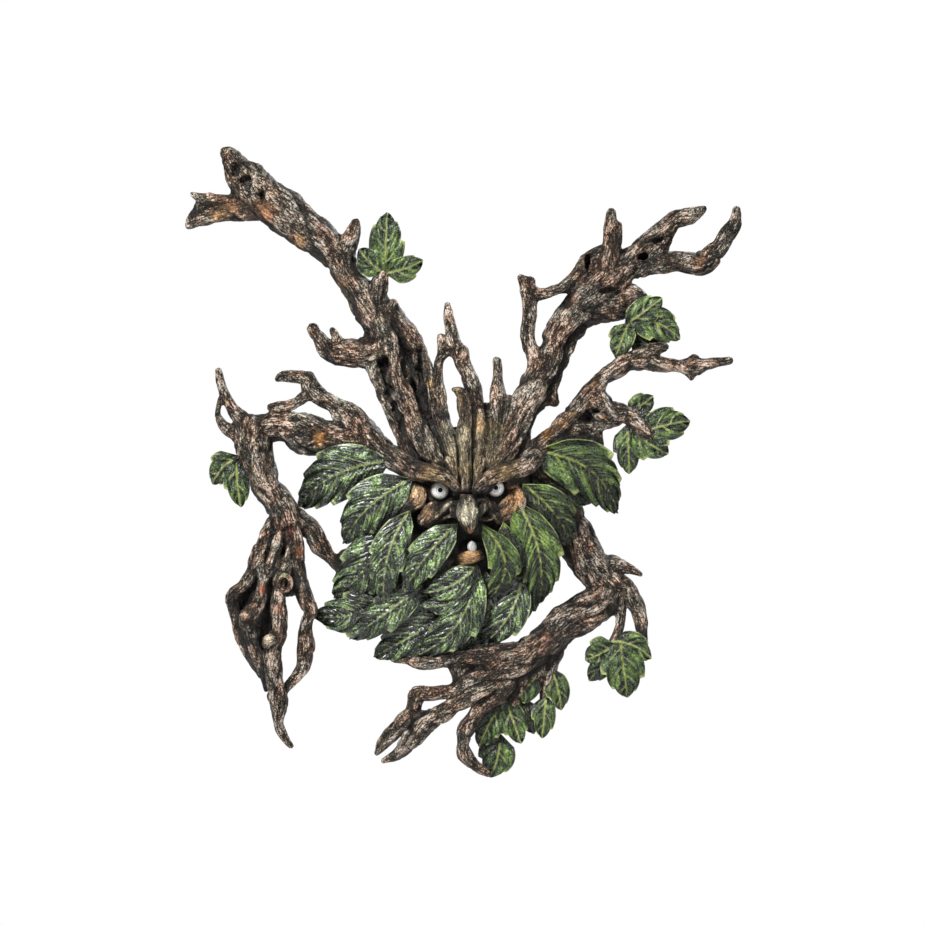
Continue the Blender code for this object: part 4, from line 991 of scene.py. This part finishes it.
class Nodes:
    """Short ways to add nodes to a tree and join them up."""

    def __init__(self, tree):
        self.tree = tree

    def add(self, kind, links=None, **settings):
        """A node with its settings, and its inputs joined or set."""
        node = self.tree.nodes.new(kind)
        for key, value in settings.items():
            setattr(node, key, value)
        for key, value in (links or {}).items():
            self.feed(node.inputs[key], value)
        return node

    def feed(self, socket, value):
        """Joins an input to another node's output, or sets it to a plain value."""
        if isinstance(value, bpy.types.NodeSocket):
            self.tree.links.new(value, socket)
        else:
            socket.default_value = value

    def math(self, operation, one, two=0.0):
        """The outcome of a sum with one or two numbers."""
        return self.add("ShaderNodeMath", {0: one, 1: two}, operation=operation).outputs[0]

    def vector(self, operation, links):
        """The outputs of a sum with vectors."""
        return self.add("ShaderNodeVectorMath", links, operation=operation).outputs

    def attribute(self, name, output="Fac"):
        """A value that the mesh's points carry."""
        return self.add("ShaderNodeAttribute", attribute_name=name).outputs[output]

    def position(self):
        """Where a point lies, in metres from the mount."""
        return self.add("ShaderNodeTexCoord").outputs["Object"]

    def noise(self, vector, scale, detail=3.0, roughness=0.6, distortion=0.0):
        """Noise from 0 to 1 at a vector, with that many bumps to a metre."""
        links = {"Vector": vector, "Scale": scale, "Detail": detail, "Roughness": roughness}
        return self.add("ShaderNodeTexNoise", {**links, "Distortion": distortion}).outputs["Fac"]

    def stretch(self, value, low, high):
        """The value's share of the way from low to high, kept between 0 and 1."""
        node = self.add("ShaderNodeMapRange", {"Value": value, "From Min": low, "From Max": high})
        return node.outputs["Result"]

    def weigh(self, *terms):
        """Sum of values, each times its weight."""
        total = None
        for value, weight in terms:
            share = self.math("MULTIPLY", value, weight)
            total = share if total is None else self.math("ADD", total, share)
        return total

    def ramp(self, value, stops):
        """Colour read off stops of a place and a colour, or a grey given as one number."""
        node = self.add("ShaderNodeValToRGB", {"Fac": value})
        elements = node.color_ramp.elements
        while len(elements) < len(stops):
            elements.new(0.5)
        for element, (place, colour) in zip(elements, stops):
            element.position = place
            element.color = (*(colour if isinstance(colour, tuple) else (colour,) * 3), 1.0)
        return node.outputs["Color"]

    def mix(self, share, one, two, blend="MIX"):
        """The first colour blended with that share of the second."""
        node = self.add("ShaderNodeMix", data_type="RGBA", blend_type=blend)
        self.feed(node.inputs["Factor"], share)
        for socket, colour in ((node.inputs[6], one), (node.inputs[7], two)):
            self.feed(socket, (*colour, 1.0) if isinstance(colour, tuple) else colour)
        return node.outputs[2]

    def cells(self, vector, place, wander_scale, wander, stretch, scale, edge):
        """0 along the lines of a net of cells, rising to 1 within the edge, on a vector that wanders."""
        drift = self.add("ShaderNodeTexNoise", {"Vector": place, "Scale": wander_scale, "Detail": 2.0})
        drift = self.vector("SCALE", {0: drift.outputs["Color"], "Scale": wander})[0]
        moved = self.vector("ADD", {0: vector, 1: drift})[0]
        moved = self.add("ShaderNodeMapping", {"Vector": moved, "Scale": (stretch, 1.0, 1.0)}).outputs[0]
        links = {"Vector": moved, "Scale": scale}
        net = self.add("ShaderNodeTexVoronoi", links, feature="DISTANCE_TO_EDGE")
        return self.stretch(net.outputs["Distance"], 0.0, edge)

    def bump(self, shader, height, strength, distance):
        """Gives a shader relief from a height of up to that distance in metres."""
        links = {"Height": height, "Strength": strength, "Distance": distance}
        self.feed(shader.inputs["Normal"], self.add("ShaderNodeBump", links).outputs[0])


def new_material(name):
    """A material, its tree and its shader."""
    material = bpy.data.materials.new(name)
    material.use_nodes = True
    return material, Nodes(material.node_tree), material.node_tree.nodes["Principled BSDF"]


def paint_group(name, inputs):
    """A node group with those inputs, of the kinds given, that gives a colour, a roughness and a height."""
    tree = bpy.data.node_groups.new(name, "ShaderNodeTree")
    for kind, sockets in inputs.items():
        for socket in sockets:
            tree.interface.new_socket(socket, in_out="INPUT", socket_type=kind)
    for socket, kind in (("Color", "NodeSocketColor"), ("Roughness", "NodeSocketFloat"),
                         ("Height", "NodeSocketFloat")):
        tree.interface.new_socket(socket, in_out="OUTPUT", socket_type=kind)
    source, sink = tree.nodes.new("NodeGroupInput"), tree.nodes.new("NodeGroupOutput")
    return tree, source.outputs, sink.inputs


def bark_paint():
    """Paint of the bark: darker in the grooves, brown on the rises, pale on the highest grain, part dry
    brush and part painted highlight, and flecks of ochre, rust and moss. Tints lie over it in patches."""
    tree, given, result = paint_group("bark_paint", {
        "NodeSocketVector": ("Grain", "Place"),
        "NodeSocketColor": ("Tint",),
        "NodeSocketFloat": ("Grooves", "Tint Share", "Painted_shade")})
    n = Nodes(tree)
    grain, place, share = given["Grain"], given["Place"], given["Tint Share"]
    squeezed = n.add("ShaderNodeMapping", {"Vector": grain, "Scale": (0.17, 1.0, 1.0)}).outputs[0]
    fibres = n.stretch(n.noise(squeezed, 640.0, 3.0, 0.65, 0.6), 0.36, 0.64)
    crackle = n.cells(grain, place, 230.0, 0.006, 0.45, 370.0, 0.20)
    pebbles = n.stretch(n.noise(place, 760.0, 2.0, 0.6, 0.5), 0.36, 0.64)
    clouds = n.stretch(n.noise(place, 85.0), 0.35, 0.65)
    grooves = n.stretch(given["Grooves"], -0.7, 0.7)
    height = n.weigh((fibres, 0.31), (pebbles, 0.18), (crackle, 0.20), (grooves, 0.24), (clouds, 0.12))

    hue = n.ramp(n.noise(place, 42.0, 2.0, 0.5), BARK_HUES)
    flecks = n.ramp(n.noise(place, 210.0, 2.0, 0.6, 1.0), BARK_FLECKS)
    bright = n.ramp(height, BARK_SHADES)
    colour = n.mix(1.0, n.mix(0.5, hue, flecks), bright, "MULTIPLY")
    # Pale on the highest grain: part dry brush, part painted highlight
    colour = n.mix(n.ramp(height, DRY_BRUSH_AND_HIGHLIGHT), colour, DRY_BRUSH_AND_HIGHLIGHT_COLOUR)

    lifted = n.mix(n.math("MULTIPLY", share, 0.5), bright, (1.0, 1.0, 1.0))
    tinted = n.mix(1.0, given["Tint"], lifted, "MULTIPLY")
    patchy = n.stretch(n.math("ADD", share, n.noise(place, 150.0, 3.0, 0.7)), 0.70, 1.15)
    reached = n.stretch(n.math("ADD", height, n.math("MULTIPLY", share, 0.25)), 0.36, 0.56)
    colour = n.mix(n.math("MULTIPLY", patchy, reached), colour, tinted)
    # Painted shade: near black where something close by stands prouder
    colour = n.mix(n.math("MULTIPLY", given["Painted_shade"], 0.9), colour, BARK_PAINTED_SHADE_COLOUR)
    n.feed(result["Color"], colour)
    n.feed(result["Roughness"], n.stretch(n.noise(place, 160.0, 2.0), -0.2, 1.5))
    n.feed(result["Height"], height)
    return tree


def bark_material():
    """The painted bark, with the grain, grooves, tint and painted shade of each piece."""
    material, n, shader = new_material("bark_paint")
    paint = n.add("ShaderNodeGroup", node_tree=bark_paint())
    n.feed(paint.inputs["Grain"], n.attribute("grain", "Vector"))
    n.feed(paint.inputs["Place"], n.position())
    n.feed(paint.inputs["Grooves"], n.attribute("grooves"))
    n.feed(paint.inputs["Painted_shade"], n.attribute("painted_shade"))
    n.feed(paint.inputs["Tint"], n.attribute("tint", "Color"))
    n.feed(paint.inputs["Tint Share"], n.attribute("tint", "Alpha"))
    n.feed(shader.inputs["Base Color"], paint.outputs["Color"])
    n.feed(shader.inputs["Roughness"], paint.outputs["Roughness"])
    n.bump(shader, paint.outputs["Height"], 1.0, BARK_BUMP)
    shader.inputs["Specular IOR Level"].default_value = 0.30
    return material


def leaf_paint():
    """Paint of the leaves: black green painted shade in the folds, deep green on the quilting, yellow green
    on the veins, a yellow green painted highlight on the margin, and pale painted glints. Olive evens it
    out round the lift and warms it."""
    tree, given, result = paint_group("leaf_paint", {
        "NodeSocketVector": ("Place", "Comb"),
        "NodeSocketFloat": ("Vein", "Puff", "Rim", "Crease_shade", "Shade", "Painted_shade", "Olive", "Lift")})
    n = Nodes(tree)
    place, vein, puff, olive = given["Place"], given["Vein"], given["Puff"], given["Olive"]
    quilt = n.cells(given["Comb"], place, 260.0, 0.005, 1.0, 330.0, 0.18)
    speckle = n.noise(place, 480.0, 3.0, 0.7)
    cloud = n.noise(place, 60.0)
    sprinkled, clouded = n.stretch(speckle, 0.3, 0.7), n.stretch(cloud, 0.3, 0.7)
    # The crease shade lowers the level: painted shade in the folds
    level = n.weigh((puff, 0.14), (sprinkled, 0.14), (clouded, 0.48), (quilt, 0.20), (given["Crease_shade"], -0.20))
    settled = n.math("MULTIPLY", olive, 0.5)
    level = n.math("MULTIPLY", level, n.math("SUBTRACT", 1.0, settled))
    level = n.math("ADD", level, n.math("MULTIPLY", settled, given["Lift"]))

    worn = n.math("MAXIMUM", n.stretch(speckle, 0.25, 0.50), n.stretch(vein, 0.68, 0.86))
    lines = n.math("MULTIPLY", n.stretch(vein, 0.35, 0.90), worn)
    vein_colour = n.mix(given["Shade"], *VEIN_COLOURS)
    colour = n.mix(n.math("MULTIPLY", lines, 0.85), n.ramp(level, LEAF_GREENS), vein_colour)
    # Painted highlight along the leaf's margin
    margin = n.math("MULTIPLY", n.stretch(given["Rim"], 0.89, 0.97), n.stretch(cloud, 0.22, 0.38))
    colour = n.mix(n.math("MULTIPLY", margin, 0.85), colour, RIM_HIGHLIGHT_COLOUR)
    # Painted glints: pale specks, strongest on the green leaves
    painted_glint = n.stretch(n.noise(place, 420.0, 3.0, 0.7), 0.55, 0.66)
    painted_glint = n.math("MULTIPLY", painted_glint, n.stretch(cloud, 0.42, 0.56))
    glints = n.math("SUBTRACT", 0.9, n.math("MULTIPLY", olive, 0.8))
    colour = n.mix(n.math("MULTIPLY", painted_glint, glints), colour, PAINTED_GLINT_COLOUR)
    colour = n.mix(1.0, colour, n.mix(olive, (1.0, 1.0, 1.0), OLIVE_CAST), "MULTIPLY")
    # Painted shade: near black green where something close by stands prouder
    colour = n.mix(n.math("MULTIPLY", given["Painted_shade"], 0.92), colour, LEAF_PAINTED_SHADE_COLOUR)
    n.feed(result["Color"], colour)
    n.feed(result["Roughness"], n.stretch(speckle, 0.0, 1.9))
    n.feed(result["Height"], n.weigh((quilt, 0.12), (sprinkled, 0.08), (vein, 0.3), (puff, 0.10)))
    return tree


def leaf_material(name, paint_tree, olive, lift, coat):
    """A painted leaf: how olive it is, the level that its paint evens out to, and how much it gleams."""
    material, n, shader = new_material(name)
    paint = n.add("ShaderNodeGroup", node_tree=paint_tree)
    n.feed(paint.inputs["Olive"], olive)
    n.feed(paint.inputs["Lift"], lift)
    n.feed(paint.inputs["Place"], n.position())
    n.feed(paint.inputs["Comb"], n.attribute("comb", "Vector"))
    for mask in ("vein", "puff", "rim", "crease_shade", "shade", "painted_shade"):
        n.feed(paint.inputs[mask.capitalize()], n.attribute(mask))
    n.feed(shader.inputs["Base Color"], paint.outputs["Color"])
    n.feed(shader.inputs["Roughness"], paint.outputs["Roughness"])
    n.bump(shader, paint.outputs["Height"], 1.0, LEAF_BUMP)
    shader.inputs["Coat Weight"].default_value = coat
    shader.inputs["Coat Roughness"].default_value = 0.2
    return material


def eye_material(name, centre, gaze):
    """White of the eye with a grey iris and a black pupil, as rings round the point that looks out, and
    painted shade darkening the white towards the edge of the ball.
    """
    material, n, shader = new_material(name)
    place = n.position()
    pupil = tuple((place_on_sheet(centre) + np.array(gaze)) * UNIT)
    away = n.vector("DISTANCE", {0: place, 1: pupil})["Value"]
    rings = n.ramp(n.math("MULTIPLY", away, 1 / (RING_REACH * UNIT)), EYE_RINGS_AND_EDGE_SHADE)
    stain = n.ramp(n.noise(place, 500.0, 3.0, 0.7), EYE_STAIN)
    n.feed(shader.inputs["Base Color"], n.mix(1.0, rings, stain, "MULTIPLY"))
    shader.inputs["Roughness"].default_value = 0.45
    shader.inputs["Specular IOR Level"].default_value = 0.15
    return material


def tooth_material():
    """Two greys mottled together, with the darker one in the hollows."""
    material, n, shader = new_material("tooth")
    mottle = n.noise(n.position(), 600.0, 4.0, 0.7)
    dark, light = TOOTH_COLOURS
    n.feed(shader.inputs["Base Color"], n.ramp(mottle, [(0.32, dark), (0.62, light)]))
    n.bump(shader, mottle, 0.5, TOOTH_BUMP)
    shader.inputs["Roughness"].default_value = 0.4
    return material


# Studio

def aim(obj, place, target):
    """Places a camera or light and turns its -Z towards the target with +Y up."""
    forward = np.array(target, float) - place
    forward /= np.linalg.norm(forward)
    obj.location = place
    obj.rotation_euler = (math.acos(-forward[2]), 0.0, math.atan2(forward[1], forward[0]) - math.pi / 2)


def soft_light(name, place, size, power):
    """A soft box that looks at the middle of the sculpture."""
    light = bpy.data.lights.new(name, "AREA")
    light.shape = "RECTANGLE"
    light.size, light.size_y = size
    light.energy = power
    obj = bpy.data.objects.new(name, light)
    bpy.context.scene.collection.objects.link(obj)
    aim(obj, place, (0, 0, 0))


def light_room():
    """White where the camera sees it, and dim where it lights the sculpture."""
    room = bpy.data.worlds.new("studio")
    room.use_nodes = True
    n = Nodes(room.node_tree)
    seen = n.add("ShaderNodeLightPath").outputs["Is Camera Ray"]
    strength = n.math("ADD", WORLD_LIGHT, n.math("MULTIPLY", seen, 1.0 - WORLD_LIGHT))
    background = room.node_tree.nodes["Background"]
    background.inputs["Color"].default_value = (1.0, 1.0, 1.0, 1.0)
    n.feed(background.inputs["Strength"], strength)
    bpy.context.scene.world = room
    bpy.context.scene.view_settings.view_transform = "Standard"


def lay_floor():
    """A pale round floor, well below the sculpture: (r cos a, r sin a) at one level."""
    turns = np.linspace(0, 2 * np.pi, FLOOR_SIDES, False)
    rim = [FLOOR_RADIUS * np.cos(turns), FLOOR_RADIUS * np.sin(turns), np.full(FLOOR_SIDES, FLOOR_Z)]
    mesh = bpy.data.meshes.new("floor")
    mesh.from_pydata(np.stack(rim, axis=1).tolist(), [], [tuple(range(FLOOR_SIDES))])
    material, _, shader = new_material("floor")
    shader.inputs["Base Color"].default_value = (0.86, 0.86, 0.86, 1.0)
    shader.inputs["Roughness"].default_value = 0.9
    mesh.materials.append(material)
    floor = bpy.data.objects.new("floor", mesh)
    bpy.context.scene.collection.objects.link(floor)


def camera():
    """Straight in front of the wall, where a picture point is one unit at the middle depth."""
    data = bpy.data.cameras.new("camera")
    data.lens = LENS
    data.sensor_width = SENSOR
    obj = bpy.data.objects.new("camera", data)
    bpy.context.scene.collection.objects.link(obj)
    middle_x, middle_z = (IMAGE / 2 - MOUNT_X) * UNIT, (MOUNT_Y - IMAGE / 2) * UNIT
    distance = IMAGE * UNIT * LENS / SENSOR
    place = (middle_x, MIDDLE_DEPTH * -UNIT - distance, middle_z)
    aim(obj, place, (middle_x, 0, middle_z))
    bpy.context.scene.camera = obj


# Build

bark = bark_material()
leaf_tree = leaf_paint()
green = leaf_material("green_leaf", leaf_tree, 0.0, 0.5, 0.6)
olive = leaf_material("olive_leaf", leaf_tree, 1.0, 0.55, 0.1)
# The ivy's paint is the olive paint evened out to a lower level: a darker, shaded copy, as the lamps light
# the ivy more from the front
shaded_ivy = leaf_material("shaded_ivy_leaf", leaf_tree, 1.0, 0.47, 0.1)

# Bark: limbs, grid step, blend width, lumps, hollows and what differs from the rest
barks = {
    "left_antler": (LEFT_ANTLER, STEP, ANTLER_BLEND, (), ANTLER_HOLLOWS),
    "centre_horns": (CENTRE_HORNS, STEP, ANTLER_BLEND),
    "right_antler": (RIGHT_ANTLER, STEP, ANTLER_BLEND, (), RIGHT_HOLLOWS),
    "right_branch": (RIGHT_BRANCH, STEP, BRANCH_BLEND, (), BRANCH_HOLLOWS),
    "left_arm": (LEFT_ARM, STEP, ARM_BLEND, (), KNOT_HOLE),
    "right_arm": (RIGHT_ARM, STEP, ARM_BLEND),
    "face": (FACE, FACE_STEP, FACE_BLEND, [SKULL], [*SOCKETS, NOTCH], FACE_ROUGHNESS, TINTS_AND_SHADE, FACE_BACK),
    # The core is brushed near black with painted shade
    "core": ({}, CORE_STEP, CORE_BLEND, [SKULL_BACK, JAW, BEARD_CORE], [MOUTH, *SOCKETS, *HANGING_SLOT],
             1.0, CORE_PAINTED_SHADE),
}
leaves = {
    "left_leaves": (LEFT_LEAVES, LOBED_LEAF, green),
    "beard_leaves": (BEARD_LEAVES, LOBED_LEAF, green),
    "right_leaves": (RIGHT_LEAVES, NOTCHED_LEAF, olive),
    "ivy_leaves": (IVY_LEAVES, IVY_LEAF, shaded_ivy),
}
shapes = {name: (*bark_shape(*facts), bark, BARK_PAINTED_SHADE) for name, facts in barks.items()}
for name, (cluster, shape, paint) in leaves.items():
    shapes[name] = (*leaf_shape(name, cluster, shape), paint, LEAF_PAINTED_SHADE)
cover = cover_map(shapes.values())
pieces = []
for name, (vertices, quads, values, front, paint, painted_shade) in shapes.items():
    # Painted shade where something close by stands prouder of the wall
    values["painted_shade"] = painted_shade_of(vertices, front, cover, *painted_shade)
    pieces.append(write_mesh(name, vertices, quads, values, paint))
for side, (centre, radius) in EYES.items():
    name = f"{side}_eye"
    pieces.append(ball(name, centre, (radius,) * 3, eye_material(name, centre, GAZE[side]), EYE_POINTS))
pieces.append(ball("tooth", *TOOTH, tooth_material(), TOOTH_POINTS))
for piece in pieces:
    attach(piece, "root")
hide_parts("tree_face")

light_room()
lay_floor()
for name, facts in LIGHTS.items():
    soft_light(name, *facts)
camera()
bpy.context.view_layer.update()
